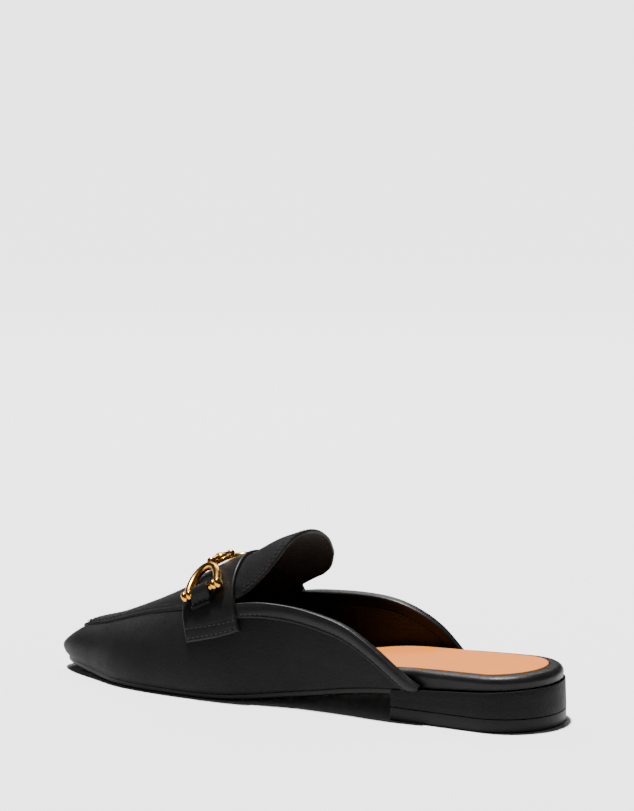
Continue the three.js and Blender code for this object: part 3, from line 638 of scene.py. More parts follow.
def plated(name, colour, roughness, patch):
    """Polished brass with a pale gold plating, softened by handling in patches of so many millimetres."""
    material, tree, shader = new_material(name, colour, Roughness=roughness, Metallic=1.0)
    place = add_node(tree, "ShaderNodeTexCoord").outputs["Object"]
    patches = {"Vector": place, "Scale": 1 / (patch * MM), "Detail": 3.0}
    handled = add_node(tree, "ShaderNodeTexNoise", patches).outputs["Fac"]
    spread = {"Value": handled, "To Min": 0.7 * roughness, "To Max": 1.4 * roughness}
    gloss = add_node(tree, "ShaderNodeMapRange", spread)
    tree.links.new(gloss.outputs["Result"], shader.inputs["Roughness"])
    return material


def twisted(name, colour, roughness, shine):
    """Twisted polyester thread: a soft sheen and no pattern of its own at this size."""
    return new_material(name, colour, Roughness=roughness, Specular_IOR_Level=shine)[0]


def material_of(name, make, colour, **values):
    """A material by name, made from one of the panel's colours the first time that a piece asks for it."""
    colours = bpy.context.scene.loafer_colours
    return bpy.data.materials.get(name) or make(name, list(getattr(colours, colour)), **values)


def calf():
    """Smooth black calf with a satin finish: nearly even, with a fine grain where light grazes it."""
    values = {"roughness": 0.56, "grain": 0.8, "depth": 0.17, "mottle": 0.1, "shine": 0.085}
    return material_of("black calf", leather, "calf", **values)


def lining():
    """Unfinished pigskin: matt, with a coarser grain."""
    values = {"roughness": 0.55, "grain": 1.4, "depth": 0.25, "mottle": 0.14, "shine": 0.2}
    return material_of("dark pig lining", leather, "lining", **values)


def sock_leather():
    """Smooth tan lining leather: even and matt, with hardly any grain."""
    values = {"roughness": 0.55, "grain": 0.9, "depth": 0.035, "mottle": 0.06, "shine": 0.2}
    return material_of("tan sock leather", leather, "sock", **values)


def rubbed_calf():
    """The same calf where it is folded or stretched over an edge and shines more."""
    values = {"roughness": 0.4, "grain": 0.75, "depth": 0.08, "mottle": 0.1, "shine": 0.15}
    return material_of("rubbed black calf", leather, "calf", **values)


def sole_rubber():
    """Black moulded rubber: flat and dark beside the leather."""
    values = {"roughness": 0.48, "speck": 0.8, "depth": 0.04, "shine": 0.13}
    return material_of("moulded sole rubber", moulded, "sole", **values)


def gold():
    """Plated brass: bright, with soft-edged reflections."""
    return material_of("pale gold plating", plated, "metal", roughness=0.2, patch=2.5)


def thread():
    """Black thread, its colour lifted a shade above the calf's as a painted sheen that stands in for the
    glints on the stitches.
    """
    return material_of("black thread", twisted, "thread", roughness=0.62, shine=0.2)


# Upper
UPPER_TUCK = 0.5  # radius of the upper's own edge, under its binding


def make_upper():
    back = np.linspace(COLLAR_BACK, COLLAR_FRONT, 90)
    turn = COLLAR_FRONT + (THROAT - COLLAR_FRONT) * np.sin(np.linspace(0, QUARTER, 16))
    u = round_toe(np.concatenate([back, turn[1:], np.linspace(THROAT, APEX, 44)[1:]]))
    at = station_of(u)
    edge = np.where(u < 0, upper_edge(-1, at), upper_edge(1, at))
    edge = np.where(at > THROAT - 1e-6, 1.0, edge)
    share = np.linspace(0, 1, 44)
    t = np.where(share == 1, edge[:, None], edge[:, None] * share)
    u = np.broadcast_to(u[:, None], t.shape)
    tucked = rolled(run_along(last_point(u, t), 1), UPPER_TUCK)
    piece = shell("upper_leather", [(u, t, -tucked, -WALL)], [calf(), lining()])
    finish_piece(piece, "upper_leather", "upper")


# Apron and tongue
APRON_TOP = GAP + OVERLAY
APRON_EDGE_TOP = 0.85  # height beside the seam, before it rises to the full height
APRON_SLOPE = 8  # distance over which it rises
APRON_ROLL = 0.75
TONGUE_ROLL = 0.7
APRON_SEAM = 3.1  # stitch row of the apron, from its edge
APRON_RIM = (1.2, 0.8, 0.25)  # raised rim: distance from the edge, half-width and height
APRON_GROOVE = (APRON_SEAM, 0.5, 0.15)  # groove of the stitch row, in the same measures
APRON_BLEND = 0.03  # stations over which the flat tongue turns into the raised apron
TONGUE_SEAMS = (1.2, 3.0)
TONGUE_GROOVE = (0.4, 0.14)  # half-width and depth


def apron_heights(away, ridge):
    """Height of the apron's face by the distance from its edge. ridge raises the rim of the seam."""
    body = lerp(APRON_TOP, lerp(APRON_EDGE_TOP, APRON_TOP, smooth(0, APRON_SLOPE, away)), ridge)
    seam = trough(away, *APRON_RIM) - trough(away, *APRON_GROOVE)
    return body + ridge * seam - rolled(away, APRON_ROLL)


def make_apron():
    share = fine_ends(24, 0.06, end=False)
    u = round_toe(np.linspace(TONGUE_FRONT, APEX, 46))
    t = lerp(apron_edge_at(u)[:, None], 1.0, share)
    u = np.broadcast_to(u[:, None], t.shape)
    vamp = (u, t, apron_heights(run_along(last_point(u, t), 1), 1.0), LAID)

    near, far = (lerp(apron_edge[side](TONGUE_FRONT), 1.0, share) for side in (-1, 1))
    girth = np.concatenate([near, 2 - far[-2::-1]])
    along = fine_ends(30, 0.08, start=False)[::-1]
    station = lerp(TONGUE_FRONT, tongue_end(girth), along[:, None])
    u = place_of(-1, station)
    t = np.broadcast_to(girth, u.shape)
    points = last_point(u, t)
    away = np.minimum(run_along(points, 0), from_ends(points, 1))
    ridge = smooth(TONGUE_FRONT - APRON_BLEND, TONGUE_FRONT, station)
    seams = sum(trough(away, place, *TONGUE_GROOVE) for place in TONGUE_SEAMS)
    high = lerp(apron_heights(away, 0.0) - seams, apron_heights(away, 1.0), ridge)
    low = LAID + rolled(away, TONGUE_ROLL) * (1 - ridge)
    piece = shell("apron_leather", [vamp, (u, t, high, low)], [calf(), lining()])
    finish_piece(piece, "upper_leather", "apron")


# Saddle strap
STRAP_TOP = APRON_TOP + GAP + OVERLAY
HEM_SEAMS = (1.7, 6.4)
SIDE_SEAM = 1.7
HEM_GROOVE = (0.45, 0.16)  # half-width and depth
SIDE_GROOVE = (0.45, 0.12)
STRAP_ROLL = 0.9
STRAP_LAID = 0.05  # gap between the strap's hems and the upper


def strap_under(girth):
    return lerp(STRAP_LAID, APRON_TOP, strap_lift(girth))


def strap_over(girth):
    return strap_under(girth) + OVERLAY + GAP * strap_lift(girth)


def make_strap():
    width = (strap_front(1.0) - strap_back(1.0)) * LENGTH
    across = fine_ends(30, 2 / width)
    girth = lerp(STRAP_EDGES[0][0], STRAP_EDGES[-1][0], fine_ends(150, 0.018))
    station, t = on_strap(girth, across[:, None])
    u = place_of(-1, station)
    points = last_point(u, t)
    side, end = from_ends(points, 0), from_ends(points, 1)
    seams = trough(side, SIDE_SEAM, *SIDE_GROOVE) + sum(trough(end, s, *HEM_GROOVE) for s in HEM_SEAMS)
    high = strap_over(girth) - rolled(np.minimum(side, end), STRAP_ROLL) - seams
    piece = shell("strap_leather", [(u, t, high, strap_under(girth))], [rubbed_calf(), calf()])
    finish_piece(piece, "upper_leather", "saddle_strap")


# Bindings
BINDING_SEAM = 1.5
BINDING_GROOVE = (BINDING_SEAM, 0.45, 0.3)  # distance from its lower edge, half-width and depth
BINDING_ROLL = 0.9
PUFF_FROM, PUFF_HEIGHT = 2.4, 0.25  # the face swells a little above its stitches
FOLD_POWER = 0.7  # below 1, the fold is squarer than a half circle
BACK_SHARE = 0.8  # thickness of the strip's inner side, as a share of the outer's
GRIP = 0.1  # how far the strip's hidden faces reach into the upper's wall
FOLD_DEPTH = 0.4  # depth of the slot that takes the upper's edge


def binding_section(inside):
    """Outline of the folded strip: out from the last and up past the upper's edge."""
    skin = GAP + BINDING
    down = np.linspace(-BINDING_WIDTH, 0, 22)
    away = down + BINDING_WIDTH
    face = skin - rolled(away, BINDING_ROLL) * skin / BINDING_ROLL - trough(away, *BINDING_GROOVE)
    face += PUFF_HEIGHT * np.sin(np.clip((away - PUFF_FROM) / (BINDING_WIDTH - PUFF_FROM), 0, 1) * np.pi)
    turn = np.linspace(0, np.pi, 16)[1:-1]
    out = np.copysign(np.abs(np.cos(turn)) ** FOLD_POWER, np.cos(turn))
    fold = zip(-WALL / 2 + (WALL / 2 + skin) * out, skin * np.sin(turn) ** FOLD_POWER)
    back = np.linspace(0, -inside, 14)
    inner = -WALL - BACK_SHARE * skin * np.sqrt(np.clip((back + inside) / BINDING_ROLL, 0, 1))
    slot = [(GRIP - WALL, -inside), (GRIP - WALL, -FOLD_DEPTH), (-GRIP, -FOLD_DEPTH), (-GRIP, -BINDING_WIDTH)]
    return [*zip(face, down), *fold, *zip(inner, back), *slot]


def make_binding(side, name):
    stations = np.linspace(COLLAR_BACK, COLLAR_FRONT + 0.004, 130)
    loops = []
    for at in stations:
        turned = float(smooth(LINING_START, LINING_TURN, at))
        section = np.array(binding_section(lerp(BINDING, BINDING_WIDTH, turned)))
        u = place_of(side, at)
        edge = collar_edge(side, at)
        girth = np.maximum(0, edge + section[:, 1] / girth_speed(u, edge))
        loops.append(on_last(np.full(girth.shape, u), girth, section[:, 0]))
    loops = np.array(loops)
    faces = sweep_faces(*loops.shape[:2])
    piece = add_piece(f"{name}_leather", loops.reshape(-1, 3), faces, [rubbed_calf()], sharp=50)
    finish_piece(piece, "upper_leather", name)


# Footbed, sock, sole and heel
def outline_stations(low, high, count):
    share = np.linspace(0, 1, count)
    if low < HEEL_ROUND and high > 1 - TOE_ROUND:
        return lerp(low, high, 0.5 - 0.5 * np.cos(share * np.pi))
    if low < HEEL_ROUND:
        return lerp(low, high, 1 - np.cos(share * QUARTER))
    return lerp(low, high, np.sin(share * QUARTER))


def stack(name, stations, levels, materials):
    """Outlines over the same stations, lowest first, closed below and above. Each level gives an
    inset and a height along the stations."""
    count = len(stations)
    loops = []
    for inset, height in levels:
        inset, height = (np.broadcast_to(v, stations.shape) for v in (inset, height))
        sides = [np.stack([*outline(side, stations, inset), height], -1) for side in (-1, 1)]
        loops.append(np.concatenate([sides[0], sides[1][::-1]]))
    points = np.concatenate(loops)
    faces = sweep_faces(len(loops), 2 * count, caps=False)
    rows = 11
    for loop in (loops[0], loops[-1]):
        share = np.linspace(0, 1, rows)[:, None, None]
        cap = lerp(loop[None, :count], loop[None, : count - 1 : -1], share)
        faces += grid_quads(rows, count, len(points)).tolist()
        points = np.concatenate([points, cap.reshape(-1, 3)])
    return add_piece(name, points, faces, materials)


HEEL_BREAST = HEEL_LENGTH / LENGTH
FOOTBED_END, SOCK_END = 0.985, 0.97  # how far they run towards the toe
ROLL_SHARE = 0.8  # most of the footbed's thickness that its rolled edge takes
WRAP_FOOT = ((0.9, -0.1), (0.25, 0.35))  # lower edge of the wrap: inset and height
WRAP_IN, WRAP_DIP = 0.1, 0.05  # from the top of the roll, in and down, to where it turns to the sock
WRAP_FLAT = (0.25, 1.4)  # insets of the wrap's end under the sock
SOCK_SIDE = 0.7
SOCK_ROLL, SOCK_ROLL_FROM = 0.55, 0.3  # radius and first angle of its rounded edge
SOCK_DISH = (3.2, 0.12)  # inset and depth of the worn middle
RIM_RISE = 1.1  # how far the wrapped rim stands above the filler, beside the sock
RIM_FROM, RIM_TO = 0.26, 0.34  # stations over which the rim comes down to the filler


def footbed_top(at):
    return bed_at(at) + FOOTBED_THICKNESS * footbed_share(at)


def make_footbed():
    at = outline_stations(0, FOOTBED_END, 150)
    radius = np.minimum(FOOTBED_ROLL, ROLL_SHARE * FOOTBED_THICKNESS * footbed_share(at) - GAP)
    rim = SOCK_MARGIN * rim_share(at)
    levels = [(rim + inset, bed_at(at) + up) for inset, up in WRAP_FOOT]
    crown = footbed_top(at) + RIM_RISE * (1 - smooth(RIM_FROM, RIM_TO, at))
    for angle in np.linspace(0, QUARTER, 10):
        levels.append((rim + radius * (1 - math.cos(angle)), crown - radius * (1 - math.sin(angle))))
    inner = np.maximum(rim + radius + WRAP_IN, SOCK_MARGIN * sock_share(at) - GAP)
    levels.append((inner, crown - WRAP_DIP))
    levels += [(inner + inset, footbed_top(at) + LAID) for inset in WRAP_FLAT]
    piece = stack("footbed_wrap", at, levels, [rubbed_calf()])
    finish_piece(piece, "footbed_leather", "footbed")


def make_sock():
    at = outline_stations(0, SOCK_END, 150)
    edge = SOCK_MARGIN * sock_share(at)
    low = footbed_top(at) + LAID
    top = low + GAP + SOCK_THICKNESS
    levels = [(edge, low), (edge, low + SOCK_SIDE)]
    for angle in np.linspace(SOCK_ROLL_FROM, QUARTER, 5):
        levels.append((edge + SOCK_ROLL * (1 - math.cos(angle)), top - SOCK_ROLL * (1 - math.sin(angle))))
    inset, deep = SOCK_DISH
    piece = stack("sock_tan", at, [*levels, (edge + inset, top - deep)], [sock_leather()])
    finish_piece(piece, "sock_leather", "insole")


UPPER_ROUND = 0.25
LIFT_ROUND = 0.45
SEAT = 0.05  # gap under the footbed
LIFT_SEAM = 0.12  # gap between the heel's cover and its top piece
COVER_FOOT = ((0.35, 0), (0.05, 0.25))  # the cover's lower edge: inset and height
COVER_SIDE = (0.5, 0.6)  # its side starts so far above its lower edge and ends so far under the top
COVER_TOP = ((0.1, 0.3), (0.3, 0.2), (0.9 * SOCK_MARGIN, 1.4))  # inset and depth


def rounded_levels(inset, low, high, radius):
    """Levels of a straight edge with its lower and upper corner rounded."""
    angles = np.linspace(0, QUARTER, 5)
    foot = [(inset + radius * (1 - math.sin(a)), low + radius * (1 - math.cos(a))) for a in angles]
    return foot + [
        (inset + UPPER_ROUND * (1 - math.sin(a)), high - UPPER_ROUND * (1 - math.cos(a)))
        for a in angles[::-1]
    ]


def make_sole():
    at = outline_stations(HEEL_BREAST + GAP / LENGTH, 1, 150)
    levels = rounded_levels(SOLE_INSET, sole_under(at), bed_at(at) - SEAT, SOLE_ROUND)
    piece = stack("outsole_rubber", at, levels, [sole_rubber()])
    finish_piece(piece, "sole_rubber", "outsole")


def make_heel():
    at = outline_stations(0, HEEL_BREAST, 110)
    top = bed_at(at)
    low = LIFT_THICKNESS + LIFT_SEAM
    levels = [(inset - LIFT_FLARE, low + up) for inset, up in COVER_FOOT]
    above, below = COVER_SIDE
    levels += [(-LIFT_FLARE * (1 - s), lerp(low + above, top - below, s)) for s in (0, 0.33, 0.66, 1)]
    levels += [(inset, top - down) for inset, down in COVER_TOP]
    piece = stack("heel_cover", at, levels, [calf()])
    finish_piece(piece, "heel_leather", "heel_block")

    levels = rounded_levels(-LIFT_FLARE, 0.0, LIFT_THICKNESS, LIFT_ROUND)
    piece = stack("heel_top_piece", at, levels, [sole_rubber()])
    finish_piece(piece, "sole_rubber", "heel_lift")


# Rings, tabs and link
WIRE = RING_WIRE / 2
BAR_CLEARANCE = TAB_LEATHER + GAP + WIRE
BAR_HEIGHT = STRAP_TOP + GAP + BAR_CLEARANCE
LINK_HEIGHT = STRAP_TOP + RING_RISE + WIRE
RING_BOLD = 1.25  # the wire is drawn thicker than the frame's by this factor
BEAD = 2.8  # half-length and radius of the turned ends of a ring's bar
BEAD_RIBS = ((-0.5, 0.92), (0.42, 1.0))  # place and radius of each rib, as shares of BEAD
BEAD_RIB = 0.46  # half-length of a rib
BEAD_WAIST, BEAD_NECK = 0.62, 0.45  # radius between the ribs and at the ends
BEAD_OUT, BEAD_UP = 0.2, 0.1  # place of the bead beyond the bar's end and up the girth
PIN = 0.05  # a radius small enough to close a turned shape
TAB_BACK = 1.25 * QUARTER  # how far round the bar a tab goes before it turns back
TAB_DROP = 0.72  # share of the way back over which it comes down
TAB_EDGE = 0.8  # how round its sides are
TAB_FREE = (1.2, 0.6)  # it leaves the strap 1.2 behind the bar's clearance and has its ring's tilt at 0.6
SLEEVE = (1.6, 1.5, 1.2, 0.75)  # on the link: half-length and radius, half-length and height of its rib
SLEEVE_ROW = 3  # point of the link where it sits
RIM_SHARE = 0.35  # height of the button's rim, as a share of its dome's


def beside_bar(side, forward, up, out):
    """A point beside a ring's bar: forward from its middle, up the girth and out from the last."""
    u = place_of(side, RING_STATION + forward / LENGTH)
    girth = RING_GIRTH - RING_SLANT * forward / RING_SPAN
    return on_last(u, girth + up / girth_speed(u, girth), out)


def ring_frame(side):
    half = RING_SPAN / 2
    middle = beside_bar(side, 0, 0, BAR_HEIGHT)
    x = unit(beside_bar(side, half, 0, BAR_HEIGHT) - beside_bar(side, -half, 0, BAR_HEIGHT))
    y = beside_bar(side, 0, RING_REACH, LINK_HEIGHT) - middle
    y = unit(y - x * (x @ y))
    return middle, np.stack([x, y, np.cross(x, y) * side])


def in_frame(place, points):
    middle, axes = place
    return middle + np.asarray(points) @ axes


def hoops(path, radius, across, out, sides):
    """Circles about the points of a path, in the plane of two directions."""
    angle = np.linspace(0, 2 * np.pi, sides, endpoint=False)[None, :, None]
    radius = np.broadcast_to(radius, len(path))[:, None, None]
    across, out = (np.broadcast_to(v, path.shape)[:, None] for v in (across, out))
    return path[:, None] + radius * (np.cos(angle) * across + np.sin(angle) * out)


def tube(path, out, radius, closed, sides=20):
    """Points and faces of a wire along a path. out is a direction square to the path, or one each."""
    along = unit(np.roll(path, -1, 0) - np.roll(path, 1, 0) if closed else np.gradient(path, axis=0))
    across = unit(np.cross(np.broadcast_to(out, path.shape), along))
    points = hoops(path, radius, across, np.cross(along, across), sides)
    if closed:
        points = np.concatenate([points, points[:1]])
    return points.reshape(-1, 3), sweep_faces(len(points), sides, caps=not closed)


def turned(profile, origin, axis, sides=32):
    """A shape turned on a lathe: profile is (distance along the axis, radius) pairs."""
    axis = unit(axis)
    along, radius = np.array(profile).T
    side = unit(np.cross(axis, (0, 0, 1) if abs(axis[2]) < 0.9 else (1, 0, 0)))
    points = hoops(origin + along[:, None] * axis, radius, side, np.cross(axis, side), sides)
    return points.reshape(-1, 3), sweep_faces(len(profile), sides)


def joined(parts):
    points, faces = [], []
    for part_points, part_faces in parts:
        start = sum(len(p) for p in points)
        points.append(part_points)
        faces += [[v + start for v in face] for face in part_faces]
    return np.concatenate(points), faces


def bead_profile():
    """Two ribs, as turned on the ends of a ring's bar."""
    profile = [(-BEAD, PIN), (-BEAD, BEAD_NECK * BEAD)]
    for centre, size in BEAD_RIBS:
        for a in np.linspace(-0.85 * QUARTER, 0.85 * QUARTER, 9):
            out = BEAD_WAIST + (1 - BEAD_WAIST) * math.cos(a)
            profile.append((BEAD * (centre + BEAD_RIB * math.sin(a)), BEAD * size * out))
    return profile + [(BEAD, BEAD_NECK * BEAD), (BEAD, PIN)]


def make_ring(side, name):
    half = RING_SPAN / 2 - WIRE
    bow = RING_REACH - WIRE - RING_CORNER
    bend = [
        (half + RING_CORNER * (math.cos(a) - 1), RING_CORNER * (math.sin(a) + 1))
        for a in np.linspace(-QUARTER, 0, 8)
    ]
    arc = [(half * math.cos(a), RING_CORNER + bow * math.sin(a)) for a in np.linspace(0, np.pi, 72)[1:-1]]
    bar = [(x, 0) for x in np.linspace(-half + RING_CORNER, half - RING_CORNER, 10)[1:-1]]
    flat = bar + bend + arc + [(-x, y) for x, y in reversed(bend)]
    place = ring_frame(side)
    parts = [tube(in_frame(place, [(x, y, 0) for x, y in flat]), place[1][2], RING_BOLD * WIRE, True)]
    for end in (-1, 1):
        origin = in_frame(place, (end * (half + BEAD_OUT), BEAD_UP, 0))
        parts.append(turned(bead_profile(), origin, end * place[1][0]))
    piece = add_piece(f"{name}_gold", *joined(parts), [gold()], sharp=50)
    finish_piece(piece, "gilt_brass", name)


def tab_section():
    """Middle line of the leather strip: from its end, round the bar and back. Up the girth and out."""
    middle = TAB_LEATHER / 2
    reach = BAR_CLEARANCE - middle
    line = [(x, middle) for x in np.linspace(-TAB_LENGTH, 0, 10)]
    for a in np.linspace(-QUARTER, TAB_BACK, 22)[1:]:
        line.append((reach * math.cos(a), BAR_CLEARANCE + reach * math.sin(a)))
    x, y = line[-1]
    for s in np.linspace(0, 1, 12)[1:]:
        line.append((lerp(x, -TAB_LENGTH, s), lerp(y, 3 * middle, smooth(0, TAB_DROP, s))))
    return np.array(line)


def make_tab(side, name):
    place = ring_frame(side)
    line = tab_section()
    along = unit(np.gradient(line, axis=0))
    normal = np.stack([along[:, 1], -along[:, 0]], -1)
    across = lerp(-TAB_WIDTH / 2, TAB_WIDTH / 2, fine_ends(16, 0.09))
    edge = np.minimum(across - across[0], across[-1] - across)
    laid_until, free_from = TAB_FREE
    loops = []
    for x, gap in zip(across, edge):
        thick = TAB_LEATHER / 2 - TAB_EDGE * rolled(gap, TAB_LEATHER / 2)
        section = np.concatenate([line + normal * thick, (line - normal * thick)[::-1]])
        framed = in_frame(place, [(x, up, out - BAR_CLEARANCE) for up, out in section])
        laid = np.array([beside_bar(side, x, up, STRAP_TOP + STRAP_LAID + out) for up, out in section])
        share = smooth(-BAR_CLEARANCE - laid_until, -free_from, section[:, 0])[:, None]
        loops.append(lerp(laid, framed, share))
    loops = np.array(loops)
    faces = sweep_faces(*loops.shape[:2])
    piece = add_piece(f"{name}_leather", loops.reshape(-1, 3), faces, [calf()], sharp=60)
    finish_piece(piece, "upper_leather", name)


def sleeve_profile():
    """A sleeve with one rib, as turned on the link."""
    half, radius, rib, rise = SLEEVE
    ridge = [(rib * math.sin(a), radius + rise * math.cos(a)) for a in np.linspace(-1.2, 1.2, 9)]
    return [(-half, PIN), (-half, radius), *ridge, (half, radius), (half, PIN)]


def button_profile():
    """A plain domed button in a low rim: height over its foot, and radius as a share of the button's."""
    rim = RIM_SHARE * ROSETTE_HEIGHT
    low, high = rim - 0.2, ROSETTE_HEIGHT
    edge = [(0, 0.004), (0, 0.9), (0.25, 1), (rim - 0.3, 1), (rim, 0.94), (rim, 0.8), (rim - 0.25, 0.76)]
    dome = [(lerp(low, high, math.sin(a)), 0.72 * math.cos(a) + 0.004) for a in np.linspace(0, QUARTER, 12)]
    return [(height, share * ROSETTE_RADIUS) for height, share in edge + dome]


def make_link():
    u = place_of(-1, LINK_STATION)
    start = RING_GIRTH + (RING_REACH - WIRE) / girth_speed(u, RING_GIRTH)
    girth = np.linspace(start, 2 - start, 40)
    path = on_last(u, girth, LINK_HEIGHT)
    row = np.full(girth.shape, u)
    out = np.where((girth > 1)[:, None], last_normal(-row, 2 - girth), last_normal(row, girth))
    parts = [tube(path, out, LINK_RADIUS, False)]
    for k in (SLEEVE_ROW, len(path) - 1 - SLEEVE_ROW):
        parts.append(turned(sleeve_profile(), path[k], path[k + 1] - path[k - 1]))
    foot = on_last(u, 1.0, STRAP_TOP + 2 * GAP)
    parts.append(turned(button_profile(), foot, last_normal(u, 1.0), 40))
    piece = add_piece("bit_link_gold", *joined(parts), [gold()], sharp=50)
    finish_piece(piece, "gilt_brass", "bit_link")


# Stitches
def stitch_tree():
    """Stitches of a set length and spacing along every line of a mesh."""
    tree = bpy.data.node_groups.new("stitch rows", "GeometryNodeTree")
    sockets = tree.interface
    sockets.new_socket("Geometry", in_out="INPUT", socket_type="NodeSocketGeometry")
    for name in ("Spacing", "Stitch length", "Thread thickness"):
        sockets.new_socket(name, in_out="INPUT", socket_type="NodeSocketFloat")
    sockets.new_socket("Thread", in_out="INPUT", socket_type="NodeSocketMaterial")
    sockets.new_socket("Geometry", in_out="OUTPUT", socket_type="NodeSocketGeometry")
    given = add_node(tree, "NodeGroupInput").outputs
    line = add_node(tree, "GeometryNodeMeshToCurve", {"Mesh": given["Geometry"]}).outputs[0]
    wanted = {"Curve": line, "Length": given["Spacing"]}
    places = add_node(tree, "GeometryNodeResampleCurve", wanted, mode="LENGTH").outputs[0]
    ball = {"Segments": 8, "Rings": 5, "Radius": 0.5}
    bead = add_node(tree, "GeometryNodeMeshUVSphere", ball).outputs["Mesh"]
    thick = given["Thread thickness"]
    size = {"X": given["Stitch length"], "Y": thick, "Z": thick}
    scale = add_node(tree, "ShaderNodeCombineXYZ", size).outputs[0]
    stitch = add_node(tree, "GeometryNodeTransform", {"Geometry": bead, "Scale": scale}).outputs[0]
    along = add_node(tree, "GeometryNodeInputTangent").outputs[0]
    turn = add_node(tree, "FunctionNodeAlignRotationToVector", {"Vector": along}, axis="X").outputs[0]
    laid = {"Points": places, "Instance": stitch, "Rotation": turn}
    made = add_node(tree, "GeometryNodeInstanceOnPoints", laid).outputs[0]
    for kind, more in (
        ("GeometryNodeRealizeInstances", {}),
        ("GeometryNodeSetShadeSmooth", {}),
        ("GeometryNodeSetMaterial", {"Material": given["Thread"]}),
    ):
        made = add_node(tree, kind, {"Geometry": made, **more}).outputs[0]
    add_node(tree, "NodeGroupOutput", {"Geometry": made})
    return tree


def stitch_rows(name, rows):
    """Stitches along rows of points in millimetres, baked to a plain mesh."""
    sizes = bpy.context.scene.loafer_sizes
    points, edges = [], []
    for row in rows:
        start = len(points)
        points += placed(row)
        edges += [(start + i, start + i + 1) for i in range(len(row) - 1)]
    mesh = bpy.data.meshes.new(name)
    mesh.from_pydata(points, edges, [])
    lines = add_object(name, mesh)
    tree = bpy.data.node_groups.get("stitch rows") or stitch_tree()
    modifier = lines.modifiers.new("stitches", "NODES")
    modifier.node_group = tree
    wanted = {
        "Spacing": sizes.stitch_spacing,
        "Stitch length": sizes.stitch_length,
        "Thread thickness": sizes.thread_thickness,
        "Thread": thread(),
    }
    for item in tree.interface.items_tree:
        if item.item_type == "SOCKET" and item.in_out == "INPUT" and item.name in wanted:
            modifier[item.identifier] = wanted[item.name]
    seen = lines.evaluated_get(bpy.context.evaluated_depsgraph_get())
    baked = bpy.data.meshes.new_from_object(seen)
    lines.modifiers.remove(modifier)
    lines.data = baked
    finish_piece(lines, "upper_leather")


GIRTH_LENGTH = 0.8 * BALL_WIDTH  # about one unit of girth over the instep


def inset_line(station, girth, away):
    """A line on the last moved sideways by a distance, to the left of its run."""
    flat = np.stack([station * LENGTH, girth * GIRTH_LENGTH], -1)
    run = unit(np.gradient(flat, axis=0))
    moved = flat + away * np.stack([-run[:, 1], run[:, 0]], -1)
    return moved[:, 0] / LENGTH, moved[:, 1] / GIRTH_LENGTH


# How deep the threads' middles lie under the faces that they sew, for a binding outside and inside
APRON_SINK, TONGUE_SINK, HEM_SINK, SIDE_SINK = 0.12, 0.04, 0.1, 0.06
BINDING_SINK = (0.28, 0.15)
APRON_STITCHES_FROM = 0.73  # station in front of the strap
TONGUE_STITCHES = (0.52, 1.565)  # girths of the first and last
HEM_CORNER = 0.065  # share of the strap's width between its edge and the end of a hem row
SIDE_ROWS = ((0.312, 0.37), (1.67, 1.727))  # girths between which the strap's edge is stitched
SIDE_SHARE = SIDE_SEAM / 27  # that row's distance from the edge, as a share of the strap's width
TONGUE_SIDES = (0.5, 1.6)  # girths past which its rows are left out
ROW_END = 0.004  # stations by which the tongue's rows run on and the bindings' rows stop short
BINDING_START = 0.006  # stations from the collar's back to the first stitch outside
SOLE_CLEAR = 0.012  # least girth of a stitch over the sole
TAB_SEAM, TAB_SIDE = 1.3, 1  # from the tab's end and its sides to its row


def apron_row():
    """The apron's seam, right round the toe."""
    u = round_toe(np.linspace(APRON_STITCHES_FROM, APEX, 60), 80)
    edge = apron_edge_at(u)
    return on_last(u, edge + APRON_SEAM / girth_speed(u, edge), APRON_TOP - APRON_SINK)


def tongue_row(away):
    """A row inside the tongue's edge."""
    girth = np.linspace(*TONGUE_STITCHES, 150)
    station, moved = inset_line(tongue_end(girth), girth, -away)
    low, high = TONGUE_SIDES
    keep = (station < TONGUE_FRONT + ROW_END) & (moved > low) & (moved < high)
    return on_last(place_of(-1, station[keep]), moved[keep], APRON_TOP - TONGUE_SINK)


def strap_row(girth, share, sink):
    """A row of the strap. share is its place from the back edge to the front."""
    station, tilted = on_strap(girth, share)
    return on_last(place_of(-1, station), tilted, strap_over(girth) - sink)


def hem_row(side, away):
    """A row above one of the strap's hems."""
    end, beside = STRAP_EDGES[0 if side < 0 else -1][0], np.linspace(HEM_CORNER, 1 - HEM_CORNER, 40)
    station = lerp(strap_back(end), strap_front(end), beside)
    speed = girth_speed(place_of(side, station), end if side < 0 else 2 - end)
    return strap_row(end - side * away / speed, beside, HEM_SINK)


def binding_row(side, low, out):
    """A row along a binding's lower edge."""
    at = np.linspace(low, COLLAR_FRONT - ROW_END, 120)
    u = place_of(side, at)
    edge = collar_edge(side, at)
    girth = edge - (BINDING_WIDTH - BINDING_SEAM) / girth_speed(u, edge)
    keep = girth > SOLE_CLEAR
    return on_last(u[keep], girth[keep], out)


def make_stitches():
    stitch_rows("apron_stitches", [apron_row()])
    stitch_rows("tongue_stitches", [tongue_row(away) for away in TONGUE_SEAMS])
    hems = [hem_row(side, away) for side in (-1, 1) for away in HEM_SEAMS]
    sides = [strap_row(np.linspace(*ends, 20), SIDE_SHARE, SIDE_SINK) for ends in SIDE_ROWS]
    stitch_rows("strap_stitches", hems + sides)
    outside, inside = BINDING_SINK
    skin = GAP + BINDING
    rows = ((COLLAR_BACK + BINDING_START, skin - outside), (LINING_TURN, inside - skin - WALL))
    stitch_rows("binding_stitches", [binding_row(side, *row) for side in (-1, 1) for row in rows])
    across = np.linspace(-TAB_WIDTH / 2 + TAB_SIDE, TAB_WIDTH / 2 - TAB_SIDE, 12)
    up, out = TAB_SEAM - TAB_LENGTH, STRAP_TOP + 2 * TAB_LEATHER
    stitch_rows("tab_stitches", [[beside_bar(side, x, up, out) for x in across] for side in (-1, 1)])


